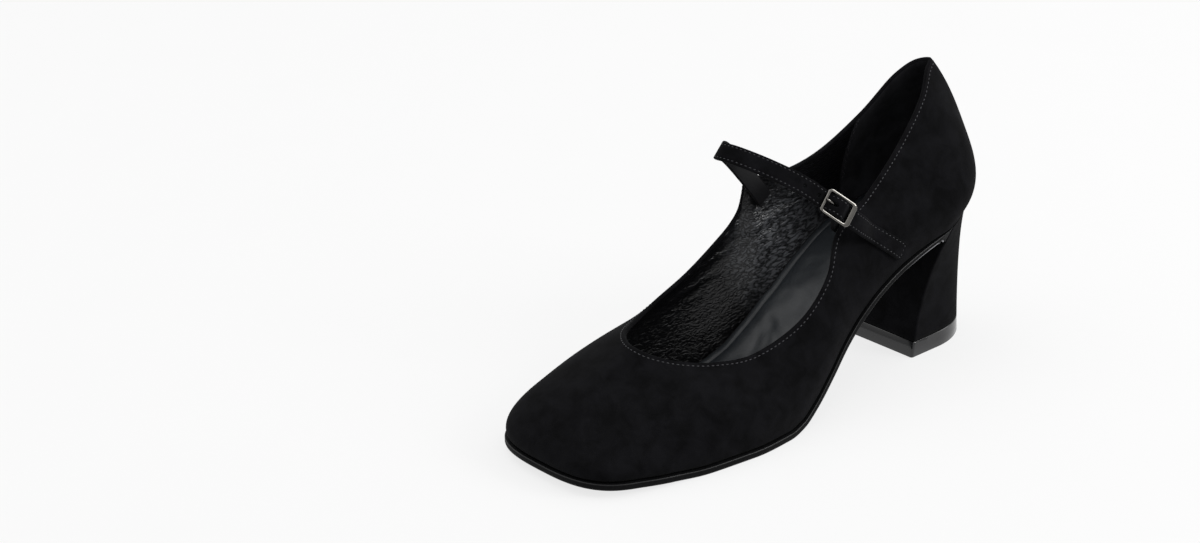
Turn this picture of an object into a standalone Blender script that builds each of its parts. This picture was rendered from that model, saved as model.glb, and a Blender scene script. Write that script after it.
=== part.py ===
# Mary jane pump, a left shoe on a high block heel, empty and standing on its sole.
# Lengths are in metres. A point of the last is (out, along, up): out to the wearer's left, along from
# the centre back towards the toe, up from the floor. The toe points to -Y and the outer side to +X.

import math

import bmesh
import bpy
import numpy as np

# Last
SHOE_LENGTH = 0.2398
BALL_WIDTH = 0.0880
WAIST_WIDTH = 0.0534
SEAT_WIDTH = 0.0548
HEEL_HEIGHT = 0.0662  # floor to the seat at the centre back
COUNTER_HEIGHT = 0.0618  # seat to the collar at the centre back
INSTEP_HEIGHT = 0.1105  # floor to the middle of the strap at its highest
HEEL_ROUND = 0.0350  # how far the rounded back of the footprint reaches
HEEL_ROUNDNESS = 1.9
TOE_ROUND = 0.0390  # how far the squared toe reaches
TOE_SQUARENESS = 2.9
TOE_SPRING = 0.0038

# Wall, sole and insole
WALL = 0.0018
MARGIN = 0.0070  # upper turned in under the insole
FEATHER_RADIUS = 0.0022
SOLE_THICKNESS = 0.0030
SOLE_WAIST_THICKNESS = 0.0022
SOLE_EDGE = 0.0007  # sole proud of the upper
SOLE_CURL = 0.0060  # tail of the sole, down the heel breast
SOLE_BEND = 0.0125  # where its underside starts to round down, ahead of the breast
INSOLE_THICKNESS = 0.0024
INSOLE_ROOM = 0.0006  # from the edge of the insole to the wall
INSOLE_BEVEL = 0.0020  # its edge slopes in towards the top
LEAN_BLEND = 0.0150  # overhang beyond which the wall leans towards its own top
GAP = 0.0003

# Heel
LIFT_HEIGHT = 0.0072
HEEL_BASE_LENGTH = 0.0448
HEEL_BASE_WIDTH = 0.0434
HEEL_BASE_BACK = 0.0030  # back of the base, forward of the centre back
HEEL_BASE_ROUND = 0.0270
HEEL_BASE_ROUNDNESS = 2.0
HEEL_TOP_LENGTH = 0.0275
HEEL_INSET = 0.0016  # heel's top, in from the edge of the sole
HEEL_WAIST = 0.0016  # sides drawn in half way up

# Strap and buckle
STRAP_WIDTH = 0.0082
STRAP_THICKNESS = 0.0015
STRAP_CORNER = 0.0004
STRAP_END_ROUND = 0.0012
STRAP_EASE = 0.0060  # from the buckle's end to the strap's own bend
HOLE_DIAMETER = 0.0016
HOLE_PITCH = 0.0070
FREE_HOLES = 2  # punched holes between the buckle and the instep
FRAME_LENGTH = 0.0156
FRAME_BAR = 0.0012
FRAME_END_BAR = 0.0024  # bar on the tail's side
FRAME_THICKNESS = 0.0013
FRAME_CORNER = 0.0022
FRAME_BEVEL = 0.00028
CENTRE_BAR = 0.0011
CENTRE_BAR_DROP = 0.0017
BAR_CLEARANCE = 0.0002
TAB_THICKNESS = 0.0008
TAB_WIDTH = 0.0076
TAB_SLOT = 0.0022
PRONG = 0.0009
PRONG_HOLE = -0.0031  # middle of the prong's hole, from the centre bar
PRONG_HOLE_LENGTH = 0.0040

# Levels off the strap's middle line at the buckle
FRAME_LEVEL = STRAP_THICKNESS / 2 + GAP + FRAME_THICKNESS / 2
BAR_LEVEL = FRAME_LEVEL - CENTRE_BAR_DROP
LOOP_RADIUS = CENTRE_BAR / 2 + BAR_CLEARANCE + TAB_THICKNESS
HUMP = BAR_LEVEL + LOOP_RADIUS + 1.5 * GAP + STRAP_THICKNESS / 2
FRAME_WIDTH = STRAP_WIDTH + 2 * (GAP + FRAME_BAR)

# Footprint: along (share of length), width, and swing (share of ball width) of the middle to the outer side
FOOTPRINT = [
    (0.000, SEAT_WIDTH * 1.000, 0.010),
    (0.124, SEAT_WIDTH * 1.000, 0.015),
    (0.249, WAIST_WIDTH * 1.030, 0.026),
    (0.373, WAIST_WIDTH * 1.000, 0.056),
    (0.489, WAIST_WIDTH * 0.50 + BALL_WIDTH * 0.40, 0.060),
    (0.601, BALL_WIDTH * 0.890, 0.021),
    (0.684, BALL_WIDTH * 0.984, -0.019),
    (0.767, BALL_WIDTH * 0.995, -0.052),
    (0.850, BALL_WIDTH * 0.960, -0.082),
    (0.920, BALL_WIDTH * 0.905, -0.087),
    (1.000, BALL_WIDTH * 0.910, -0.078),
]

# Underside: along (share of length), rise (share of heel height), spring (share of toe spring)
UNDERSIDE = [
    (0.000, 1.000, 0.0),
    (0.056, 0.918, 0.0),
    (0.119, 0.852, 0.0),
    (0.181, 0.812, 0.0),
    (0.245, 0.757, 0.0),
    (0.328, 0.634, 0.0),
    (0.411, 0.410, 0.0),
    (0.461, 0.248, 0.0),
    (0.515, 0.098, 0.0),
    (0.553, 0.026, 0.0),
    (0.591, 0.000, 0.0),
    (0.787, 0.000, 0.0),
    (0.870, 0.000, 0.36),
    (0.953, 0.000, 0.76),
    (1.000, 0.000, 1.00),
]

# Front of the heel: height (share of its full height) and how far it has swept back from base to top
BREAST_SWEEP = [
    (0.00, 0.00),
    (0.36, 0.20),
    (0.61, 0.41),
    (0.75, 0.58),
    (0.89, 0.82),
    (1.00, 1.00),
]

# Upper, one row for each section of the wall. foot: along at the feather edge (share of length).
# top_along (share of length), top_out (share of ball width) and top_up (share of the collar's height at
# the back): the collar. low_lean and top_lean: degrees that the wall leans outwards below and inwards above.
# low_reach and top_reach: how far those leans hold, as a share of the section's height.
OUTER_SECTIONS = [
    (0.000, 0.067, 0.000, 1.000, 25, 42, 0.34, 0.35),
    (0.018, 0.089, 0.037, 0.978, 25, 30, 0.38, 0.30),
    (0.074, 0.126, 0.092, 0.908, 35, 32, 0.37, 0.37),
    (0.180, 0.206, 0.143, 0.779, 14, 32, 0.37, 0.34),
    (0.294, 0.304, 0.186, 0.658, 12, 34, 0.36, 0.34),
    (0.387, 0.396, 0.232, 0.580, 12, 34, 0.36, 0.34),
    (0.442, 0.444, 0.300, 0.470, 12, 34, 0.38, 0.34),
    (0.511, 0.511, 0.310, 0.358, 12, 38, 0.40, 0.36),
    (0.612, 0.612, 0.265, 0.283, 10, 52, 0.42, 0.40),
    (0.740, 0.682, 0.190, 0.277, 6, 66, 0.35, 0.38),
    (0.880, 0.734, 0.096, 0.292, 4, 62, 0.17, 0.36),
    (0.972, 0.764, 0.010, 0.311, 2, 56, 0.10, 0.38),
    (1.000, 0.776, -0.070, 0.326, 2, 64, 0.14, 0.42),
]
INNER_SECTIONS = [
    (0.018, 0.078, -0.074, 0.988, 27, 40, 0.42, 0.35),
    (0.074, 0.114, -0.125, 0.944, 20, 30, 0.38, 0.34),
    (0.180, 0.186, -0.170, 0.830, 13, 26, 0.36, 0.34),
    (0.282, 0.279, -0.228, 0.720, 10, 24, 0.36, 0.34),
    (0.340, 0.344, -0.278, 0.680, 9, 20, 0.36, 0.34),
    (0.376, 0.392, -0.322, 0.677, 8, 16, 0.36, 0.34),
    (0.392, 0.409, -0.324, 0.700, 8, 14, 0.36, 0.34),
    (0.402, 0.417, -0.325, 0.716, 8, 13, 0.36, 0.34),
    (0.411, 0.422, -0.335, 0.692, 8, 13, 0.36, 0.34),
    (0.424, 0.424, -0.350, 0.622, 8, 14, 0.36, 0.34),
    (0.438, 0.430, -0.360, 0.566, 8, 16, 0.36, 0.34),
    (0.460, 0.448, -0.368, 0.520, 8, 18, 0.36, 0.34),
    (0.502, 0.488, -0.380, 0.462, 8, 22, 0.36, 0.34),
    (0.560, 0.550, -0.390, 0.392, 8, 28, 0.38, 0.34),
    (0.650, 0.632, -0.378, 0.338, 8, 44, 0.40, 0.36),
    (0.760, 0.690, -0.336, 0.314, 5, 66, 0.34, 0.45),
    (0.880, 0.738, -0.260, 0.320, 4, 66, 0.24, 0.44),
    (0.972, 0.767, -0.160, 0.326, 6, 63, 0.19, 0.48),
]

# Strap's middle line. Its ends lie on the wall: side, along (share of length), up (share of the collar's
# height at the back), and room beyond the clearance. Between them it is free: out (share of ball width),
# along (share of length), up (share of instep height).
STRAP_ROOT = [
    ("inner", 0.384, 0.588, 0.0004),
    ("inner", 0.404, 0.634, 0.0018),
]
STRAP_ROUTE = [
    (-0.298, 0.458, 0.882),
    (-0.248, 0.503, 0.966),
    (-0.184, 0.533, 0.996),
    (-0.088, 0.531, 0.998),
    (0.052, 0.498, 0.954),
    (0.178, 0.457, 0.886),
    (0.276, 0.415, 0.794),
    (0.322, 0.376, 0.718),
]
BUCKLE_ROW = 6  # row of the route at the middle of the frame
STRAP_TAIL = [
    ("outer", 0.330, 0.547, 0.0005),
    ("outer", 0.309, 0.517, 0.0002),
    ("outer", 0.291, 0.491, 0.0002),
    ("outer", 0.272, 0.464, 0.0002),
]
# The strap's width runs down and forwards across the instep: out, along, up
STRAP_ACROSS = (0.12, 0.70, -0.70)
# Tab's middle line inside the outer quarter: side, along, up
TAB_ROUTE = [
    ("outer", 0.352, 0.545),
    ("outer", 0.364, 0.576),
    ("outer", 0.372, 0.594),
]
TAB_RISE = 0.0032  # above the collar before it turns out to the buckle
TAB_ROOM = 0.0006

WALL_STEP = 0.0062  # widest spacing of the wall's columns
WALL_ROWS = 10
PLATE_ROWS = 46
STRAP_STEP = 0.0028
STRAP_FINE_STEP = 0.0008  # within the buckle


# Numbers along a table, with no overshoot, so that a flat stretch stays flat
def read_table(at, stations, values):
    x = np.asarray(stations, float)
    y = np.asarray(values, float)
    step = np.diff(x)
    slope = np.diff(y) / step
    tangent = np.zeros(len(x))
    tangent[0] = slope[0]
    tangent[-1] = slope[-1]
    turning = slope[:-1] * slope[1:] <= 0
    safe = np.where(turning, 1.0, slope[:-1])
    safe_next = np.where(turning, 1.0, slope[1:])
    first = 2 * step[1:] + step[:-1]
    second = step[1:] + 2 * step[:-1]
    mean = (first + second) / (first / safe + second / safe_next)
    tangent[1:-1] = np.where(turning, 0.0, mean)
    at = np.clip(np.asarray(at, float), x[0], x[-1])
    k = np.clip(np.searchsorted(x, at, side="right") - 1, 0, len(step) - 1)
    t = (at - x[k]) / step[k]
    rise = y[k] * (1 + 2 * t) * (1 - t) ** 2 + y[k + 1] * t * t * (3 - 2 * t)
    return rise + step[k] * (tangent[k] * t * (1 - t) ** 2 + tangent[k + 1] * t * t * (t - 1))


# Smooth curve through rows of numbers; knots give each row's place, counts the steps to the next row
def curve_through(rows, knots, counts, closed):
    rows = np.asarray(rows, float)
    total = len(rows)
    spans = total if closed else total - 1
    gaps = np.diff(knots)
    chords = np.array([(rows[(i + 1) % total] - rows[i]) / gaps[i] for i in range(spans)])
    tangents = np.zeros_like(rows)
    for i in range(total):
        before = (i - 1) % spans if closed else max(i - 1, 0)
        after = i if closed else min(i, spans - 1)
        weight = gaps[before] / (gaps[before] + gaps[after])
        tangents[i] = chords[before] * (1 - weight) + chords[after] * weight
    points = []
    for i in range(spans):
        t = (np.arange(counts[i]) / counts[i])[:, None]
        here, there = rows[i], rows[(i + 1) % total]
        enter, leave = tangents[i] * gaps[i], tangents[(i + 1) % total] * gaps[i]
        points.append(
            here * (1 + 2 * t) * (1 - t) ** 2
            + there * t * t * (3 - 2 * t)
            + enter * t * (1 - t) ** 2
            + leave * t * t * (t - 1)
        )
    if not closed:
        points.append(rows[-1:])
    return np.concatenate(points)


def unit(vectors):
    return vectors / np.maximum(np.linalg.norm(vectors, axis=-1, keepdims=True), 1e-12)


# Height of the sole's underside at a place along the last
def underside(along):
    share = np.asarray(along) / SHOE_LENGTH
    stations = [row[0] for row in UNDERSIDE]
    rise = read_table(share, stations, [row[1] for row in UNDERSIDE])
    spring = read_table(share, stations, [row[2] for row in UNDERSIDE])
    return rise * HEEL_HEIGHT + spring * TOE_SPRING


# Sole's thickness: full at the ball, thinner at the waist, none on the seat
def sole_thickness(along):
    share = np.asarray(along) / SHOE_LENGTH
    seat_end = HEEL_TOP_LENGTH / SHOE_LENGTH
    stations = [0.0, seat_end, 0.6]
    return read_table(share, stations, [SOLE_WAIST_THICKNESS * 0.4, SOLE_WAIST_THICKNESS, SOLE_THICKNESS])


# How much longer the sole's line is than its run along the floor, which turns a thickness into a height
def steepness(along):
    step = 0.0005
    rise = underside(np.asarray(along) + step) - underside(np.asarray(along) - step)
    return np.sqrt(1 + (rise / (2 * step)) ** 2)


# Height of the sole's upper face
def sole_top(along):
    return underside(along) + sole_thickness(along) * steepness(along)


# Height of the upper's lower face, on the sole and on the heel
def feather_height(along):
    return sole_top(along) + GAP * steepness(along)


# Half of the footprint, closed by a rounded back and a squared toe
def half_width(along):
    share = along / SHOE_LENGTH
    half = read_table(share, [row[0] for row in FOOTPRINT], [row[1] / 2 for row in FOOTPRINT])
    back = np.clip(1 - along / HEEL_ROUND, 0, 1)
    toe = np.clip(1 - (SHOE_LENGTH - along) / TOE_ROUND, 0, 1)
    half = half * (1 - back**HEEL_ROUNDNESS) ** (1 / HEEL_ROUNDNESS)
    return half * (1 - toe**TOE_SQUARENESS) ** (1 / TOE_SQUARENESS)


def swing(along):
    share = along / SHOE_LENGTH
    return read_table(share, [row[0] for row in FOOTPRINT], [row[2] * BALL_WIDTH for row in FOOTPRINT])


# Footprint as a closed loop from the centre back, up the outer side to the toe and back on the inner side
def footprint_loop(inset):
    count = 240
    along = SHOE_LENGTH * (1 - np.cos(np.pi * np.arange(count + 1) / count)) / 2
    outer = np.stack([swing(along) + half_width(along), along], 1)
    inner = np.stack([swing(along) - half_width(along), along], 1)[::-1]
    loop = np.concatenate([outer, inner[1:-1]])
    travel = unit(np.roll(loop, -1, 0) - np.roll(loop, 1, 0))
    outward = np.stack([travel[:, 1], -travel[:, 0]], 1)
    return loop - outward * inset, outward, count


# Outer and inner edge of the footprint at the same places along
def edges_at(along, inset):
    loop, _, count = footprint_loop(inset)
    outer = loop[: count + 1]
    inner = np.concatenate([loop[count:], loop[:1]])[::-1]
    return np.interp(along, outer[:, 1], outer[:, 0]), np.interp(along, inner[:, 1], inner[:, 0])


def to_world(points):
    points = np.asarray(points, float)
    return np.stack([points[:, 0], -points[:, 1], points[:, 2]], 1)


def material(name, colour, roughness, metallic=0.0):
    made = bpy.data.materials.new(name)
    made.use_nodes = True
    shader = made.node_tree.nodes["Principled BSDF"]
    shader.inputs["Base Color"].default_value = (*colour, 1.0)
    shader.inputs["Roughness"].default_value = roughness
    shader.inputs["Metallic"].default_value = metallic
    return made


# Closed solid from points of the last and faces, with its faces turned outwards
def solid(name, points, faces, finish, sharp=35):
    mesh = bpy.data.meshes.new(name)
    mesh.from_pydata(to_world(points).tolist(), [], [list(face) for face in faces])
    work = bmesh.new()
    work.from_mesh(mesh)
    bmesh.ops.remove_doubles(work, verts=work.verts, dist=1e-6)
    bmesh.ops.recalc_face_normals(work, faces=work.faces)
    work.to_mesh(mesh)
    work.free()
    mesh.shade_smooth()
    mesh.set_sharp_from_angle(angle=math.radians(sharp))
    mesh.materials.append(finish)
    made = bpy.data.objects.new(name, mesh)
    bpy.context.scene.collection.objects.link(made)
    return made


# Faces between successive loops of points; each loop holds the same number of points
def band_faces(loops, size, closed_loops, closed_band):
    faces = []
    ends = size if closed_band else size - 1
    for i in range(loops if closed_loops else loops - 1):
        for j in range(ends):
            a = i * size + j
            b = i * size + (j + 1) % size
            c = ((i + 1) % loops) * size + (j + 1) % size
            d = ((i + 1) % loops) * size + j
            faces.append((a, b, c, d))
    return faces


# Solid carried along a path: one closed ring of points at each station, capped at both ends
def swept_solid(name, rings, finish, closed=False, sharp=35):
    count, size = rings.shape[:2]
    faces = band_faces(count, size, closed, True)
    if not closed:
        faces.append(tuple(range(size))[::-1])
        faces.append(tuple((count - 1) * size + j for j in range(size)))
    return solid(name, rings.reshape(-1, 3), faces, finish, sharp)


# Plate between an upper and a lower line, each given by (along, up), with an outer and an inner edge
def ladder_solid(name, upper_line, lower_line, upper_edges, lower_edges, finish, sharp=35):
    def row(line, edges, k):
        return [(edges[0][k], line[k][0], line[k][1]), (edges[1][k], line[k][0], line[k][1])]

    rings = [
        row(upper_line, upper_edges, k) + row(lower_line, lower_edges, k)[::-1]
        for k in range(len(upper_line))
    ]
    return swept_solid(name, np.array(rings), finish, sharp=sharp)


# Table of the upper's sections round the foot, as one closed run
def wall_table():
    loop, outward, count = footprint_loop(SOLE_EDGE)
    length = np.r_[0, np.cumsum(np.linalg.norm(np.diff(np.r_[loop, loop[:1]], axis=0), axis=1))]
    collar = HEEL_HEIGHT + COUNTER_HEIGHT
    rows = []
    for side, table in (("outer", OUTER_SECTIONS), ("inner", INNER_SECTIONS[::-1])):
        for foot, along, out, up, low_lean, top_lean, low_reach, top_reach in table:
            if side == "outer":
                place = np.interp(foot * SHOE_LENGTH, loop[: count + 1, 1], length[: count + 1])
            else:
                places = np.r_[loop[count:, 1], loop[:1, 1]][::-1]
                place = np.interp(foot * SHOE_LENGTH, places, length[count:][::-1])
            top = (out * BALL_WIDTH, along * SHOE_LENGTH, up * collar)
            leans = (math.radians(low_lean), math.radians(top_lean))
            rows.append((*top, place, *leans, low_reach, top_reach))
    return np.array(rows), loop, outward, length


# Outer face of the upper: columns of points from the turned-in margin up to the collar, round the foot
def wall_grid():
    rows, loop, outward, length = wall_table()
    total = len(rows)
    nexts = np.roll(rows, -1, 0)
    feet = nexts[:, 3] - rows[:, 3]
    feet[-1] += length[-1]
    tops = np.linalg.norm(nexts[:, :3] - rows[:, :3], axis=1)
    counts = np.ceil(np.maximum(feet, tops) / WALL_STEP).astype(int)
    knots = np.r_[0, np.cumsum(np.sqrt(tops + feet * 0.5))]
    # The place round the foot grows steadily, so it is read by itself
    along_knots = np.concatenate(
        [knots[i] + (knots[i + 1] - knots[i]) * np.arange(counts[i]) / counts[i] for i in range(total)]
    )
    place = read_table(along_knots, knots, np.r_[rows[:, 3], length[-1]])
    columns = curve_through(rows, knots, counts, True)
    top = columns[:, :3]
    full = np.r_[loop, loop[:1]]
    normal = np.r_[outward, outward[:1]]
    foot = np.stack([np.interp(place, length, full[:, i]) for i in range(2)], 1)
    away = unit(np.stack([np.interp(place, length, normal[:, i]) for i in range(2)], 1))
    low_lean, top_lean, low_reach, top_reach = columns[:, 4], columns[:, 5], columns[:, 6], columns[:, 7]

    def turned(inward, lift):
        spot = foot - away * inward
        return np.stack([spot[:, 0], spot[:, 1], feather_height(spot[:, 1]) + lift], 1)

    grid = [turned(MARGIN, 0.0), turned((MARGIN + FEATHER_RADIUS) / 2, 0.0)]
    for angle in (0, 30, 60):
        turn = math.radians(angle)
        grid.append(
            turned(FEATHER_RADIUS * (1 - math.sin(turn)), FEATHER_RADIUS * (1 - math.cos(turn)))
        )
    start = turned(0.0, FEATHER_RADIUS)
    height = np.linalg.norm(top - start, axis=1)[:, None]
    inwards = unit(away * LEAN_BLEND + start[:, :2] - top[:, :2])
    rise = np.stack([away[:, 0] * np.sin(low_lean), away[:, 1] * np.sin(low_lean), np.cos(low_lean)], 1)
    arrive = np.stack(
        [-inwards[:, 0] * np.sin(top_lean), -inwards[:, 1] * np.sin(top_lean), np.cos(top_lean)], 1
    )
    first = start + rise * height * low_reach[:, None]
    second = top - arrive * height * top_reach[:, None]
    for t in np.linspace(0, 1, WALL_ROWS):
        grid.append(
            start * (1 - t) ** 3 + first * 3 * t * (1 - t) ** 2 + second * 3 * t * t * (1 - t) + top * t**3
        )
    return np.stack(grid, 1)


# Outward direction at each point of the wall
def wall_normals(grid):
    around = np.roll(grid, -1, 0) - np.roll(grid, 1, 0)
    upwards = np.gradient(grid, axis=1)
    return unit(np.cross(around, upwards))


def make_upper(finish):
    grid = wall_grid()
    normals = wall_normals(grid)
    inside = grid - normals * WALL
    count, size = grid.shape[:2]
    rings = np.concatenate([grid, inside[:, ::-1]], 1)
    return swept_solid("upper", rings, finish, closed=True, sharp=50)


# Place on the wall's outer face at a distance along and up, moved off it, with the outward direction there
def wall_at(grid, normals, side, along, up, away):
    middle = swing(grid[:, 0, 1])
    target = np.array([along * SHOE_LENGTH, up * (HEEL_HEIGHT + COUNTER_HEIGHT)])
    first_row = grid.shape[1] - WALL_ROWS
    for i in range(len(grid)):
        after = (i + 1) % len(grid)
        if (grid[i, first_row, 0] > middle[i]) != (side == "outer"):
            continue
        for j in range(first_row, grid.shape[1] - 1):
            cell = [(i, j), (after, j), (after, j + 1), (i, j + 1)]
            for three in ((cell[0], cell[1], cell[2]), (cell[0], cell[2], cell[3])):
                flat = np.array([grid[c][1:] for c in three])
                sides = np.stack([flat[1] - flat[0], flat[2] - flat[0]], 1)
                if abs(np.linalg.det(sides)) < 1e-12:
                    continue
                share = np.linalg.solve(sides, target - flat[0])
                if share.min() < -1e-9 or share.sum() > 1 + 1e-9:
                    continue
                parts = np.array([1 - share.sum(), share[0], share[1]])
                direction = unit(sum(part * normals[c] for part, c in zip(parts, three)))
                return sum(part * grid[c] for part, c in zip(parts, three)) + direction * away, direction
    raise ValueError("no wall at this place")


def make_outsole(finish):
    seat_end = HEEL_TOP_LENGTH + GAP
    bend = seat_end + SOLE_BEND
    count = PLATE_ROWS
    along = bend + (SHOE_LENGTH - bend) * np.sin(np.pi / 2 * np.arange(count + 1) / count)
    along = along[::-1]
    upper_line = [(s, float(sole_top(s))) for s in along]
    lower_line = [(s, float(underside(s))) for s in along]
    outer, inner = edges_at(along, 0.0)
    upper_out, upper_in = list(outer), list(inner)
    lower_out, lower_in = list(outer), list(inner)
    # Tail: the sole's underside rounds down on to the breast of the heel
    corner = float(sole_top(seat_end))
    start = np.array(lower_line[-1])
    end = np.array(breast_point(corner - SOLE_CURL, GAP + SOLE_WAIST_THICKNESS))
    handle = np.array([end[0] + 0.0004, start[1] - 0.0002])
    tail = 6
    for k in range(1, tail + 1):
        t = k / tail
        under = start * (1 - t) ** 2 + handle * 2 * t * (1 - t) + end * t * t
        if k <= 2:
            over_along = bend + (seat_end - bend) * k / 2
            over = (over_along, float(sole_top(over_along)))
            wide = edges_at(over_along, SOLE_EDGE + (HEEL_INSET - SOLE_EDGE) * k / 2)
        else:
            over = breast_point(corner - SOLE_CURL * (k - 2) / (tail - 2), GAP)
            wide = breast_edges(over[1])
        upper_line.append(over)
        lower_line.append(tuple(under))
        for store, value in ((upper_out, wide[0]), (upper_in, wide[1])):
            store.append(float(value))
        for store, value in ((lower_out, wide[0]), (lower_in, wide[1])):
            store.append(float(value))
    edges = (upper_out, upper_in), (lower_out, lower_in)
    return ladder_solid("outsole", upper_line, lower_line, *edges, finish, sharp=30)


# How far the heel's front has swept back at a share of its height
def breast_sweep(share):
    return read_table(share, [row[0] for row in BREAST_SWEEP], [row[1] for row in BREAST_SWEEP])


# How far the heel's sides are drawn in at a share of its height
def waist_inset(share):
    return HEEL_WAIST * 4 * share * (1 - share)


# Point on the front of the heel at a height, moved forward by a clearance
def breast_point(up, clearance):
    share = up / float(sole_top(HEEL_TOP_LENGTH))
    base = HEEL_BASE_BACK + HEEL_BASE_LENGTH
    return (base + (HEEL_TOP_LENGTH - base) * float(breast_sweep(share)) + clearance, up)


# Outer and inner edge of the heel's front at a height
def breast_edges(up):
    outer, inner = edges_at(HEEL_TOP_LENGTH, HEEL_INSET)
    share = up / float(sole_top(HEEL_TOP_LENGTH))
    half, inset = HEEL_BASE_WIDTH / 2, waist_inset(share)
    return (half + (float(outer) - half) * share - inset, -half + (float(inner) + half) * share + inset)


# One slice of the heel from the floor (0) to the seat (1): its rings run from the back to the breast
def heel_slice(share, steps):
    walk = 1 - np.cos(np.pi / 2 * np.arange(steps + 1) / steps)
    base_along = HEEL_BASE_BACK + HEEL_BASE_LENGTH * walk
    back = np.clip(1 - HEEL_BASE_LENGTH * walk / HEEL_BASE_ROUND, 0, 1)
    half = HEEL_BASE_WIDTH / 2 * (1 - back**HEEL_BASE_ROUNDNESS) ** (1 / HEEL_BASE_ROUNDNESS)
    top_along = HEEL_INSET + (HEEL_TOP_LENGTH - HEEL_INSET) * walk
    top_outer, top_inner = edges_at(top_along, HEEL_INSET)
    inset = waist_inset(share) * half / half[-1]
    outer = half + (top_outer - half) * share - inset
    inner = -half + (top_inner + half) * share + inset
    swept = share + (breast_sweep(share) - share) * walk
    along = base_along + (top_along - base_along) * swept
    up = sole_top(top_along) * share
    return along, up, outer, inner


# Part of the heel between two heights, each a level or the seat itself
def heel_solid(name, bottom, top, levels, finish):
    steps = 13
    walk = 1 - np.cos(np.pi / 2 * np.arange(steps + 1) / steps)
    seat = sole_top(HEEL_INSET + (HEEL_TOP_LENGTH - HEEL_INSET) * walk)
    points = []
    for k in range(levels + 1):
        share = (bottom + ((seat if top is None else top) - bottom) * k / levels) / seat
        along, up, outer, inner = heel_slice(share, steps)
        outer_side = np.stack([outer, along, up], 1)
        inner_side = np.stack([inner, along, up], 1)
        points.append(np.concatenate([outer_side, inner_side[:0:-1]]))
    rings = np.array(points)
    size = rings.shape[1]
    faces = band_faces(levels + 1, size, False, True)
    for level, offset in ((0, 0), (levels, levels * size)):
        ladder = [(j, j + 1, size - 1 - j, (size - j) % size) for j in range(1, steps)]
        cap = [(0, 1, size - 1)] + ladder
        faces += [tuple(offset + v for v in face) for face in cap]
    return solid(name, rings.reshape(-1, 3), faces, finish, sharp=40)


def make_insole(finish):
    share = (1 - np.cos(np.pi * np.arange(PLATE_ROWS + 1) / PLATE_ROWS)) / 2
    lines, edges = [], []
    low_inset = SOLE_EDGE + WALL + INSOLE_ROOM
    for inset, height in ((low_inset + INSOLE_BEVEL, INSOLE_THICKNESS), (low_inset, 0.0)):
        along = inset + (SHOE_LENGTH - 2 * inset) * share
        floor = feather_height(along) + (WALL + 1.4 * GAP + height) * steepness(along)
        lines.append(list(zip(along, floor)))
        edges.append(edges_at(along, inset))
    return ladder_solid("insole", *lines, *edges, finish, sharp=30)


# Strap's middle line as points, with unit directions along, outwards and across, and the distance walked
def strap_line(grid, normals):
    beyond = GAP + STRAP_THICKNESS / 2
    ends = {}
    tables = (("root", STRAP_ROOT, -1, WALL + beyond), ("tail", STRAP_TAIL, 1, beyond))
    for name, table, side, start in tables:
        ends[name] = [wall_at(grid, normals, *row[:3], side * (start + row[3])) for row in table]
    free = [(o * BALL_WIDTH, a * SHOE_LENGTH, u * INSTEP_HEIGHT) for o, a, u in STRAP_ROUTE]
    points = np.array([e[0] for e in ends["root"]] + free + [e[0] for e in ends["tail"]])
    steps = np.linalg.norm(np.diff(points, axis=0), axis=1)
    knots = np.r_[0, np.cumsum(np.sqrt(steps))]
    counts = np.ceil(steps / 0.0004).astype(int)
    line = curve_through(points, knots, counts, False)
    tangent = unit(np.gradient(line, axis=0))
    places = np.r_[0, np.cumsum(counts)]
    outward = unit(np.cross(tangent[places], np.array(STRAP_ACROSS)))
    outward[: len(STRAP_ROOT)] = [e[1] for e in ends["root"]]
    outward[-len(STRAP_TAIL) :] = [e[1] for e in ends["tail"]]
    facing = curve_through(outward, knots, counts, False)
    walked = np.r_[0, np.cumsum(np.linalg.norm(np.diff(line, axis=0), axis=1))]
    buckle = places[len(STRAP_ROOT) + BUCKLE_ROW]
    walked -= walked[buckle]
    # The strap runs flat and straight through the buckle
    flat = np.clip((np.abs(walked) - FRAME_LENGTH / 2) / STRAP_EASE, 0, 1)[:, None]
    flat = flat * flat * (3 - 2 * flat)
    straight = line[buckle] + tangent[buckle] * walked[:, None]
    line = straight * (1 - flat) + line * flat
    facing = facing[buckle] * (1 - flat) + facing * flat
    tangent = unit(np.gradient(line, axis=0))
    facing = unit(facing - tangent * (facing * tangent).sum(1, keepdims=True))
    across = np.cross(tangent, facing)
    return line, tangent, facing, across, walked, buckle


# Strap rises over the centre bar and passes under both end bars
def hump(distance):
    flat = LOOP_RADIUS
    reach = np.where(distance < 0, FRAME_LENGTH / 2 - FRAME_BAR, FRAME_LENGTH / 2 - FRAME_END_BAR)
    share = np.clip((np.abs(distance) - flat) / (reach - 0.0002 - flat), 0, 1)
    return HUMP * (1 - share * share * (3 - 2 * share))


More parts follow.
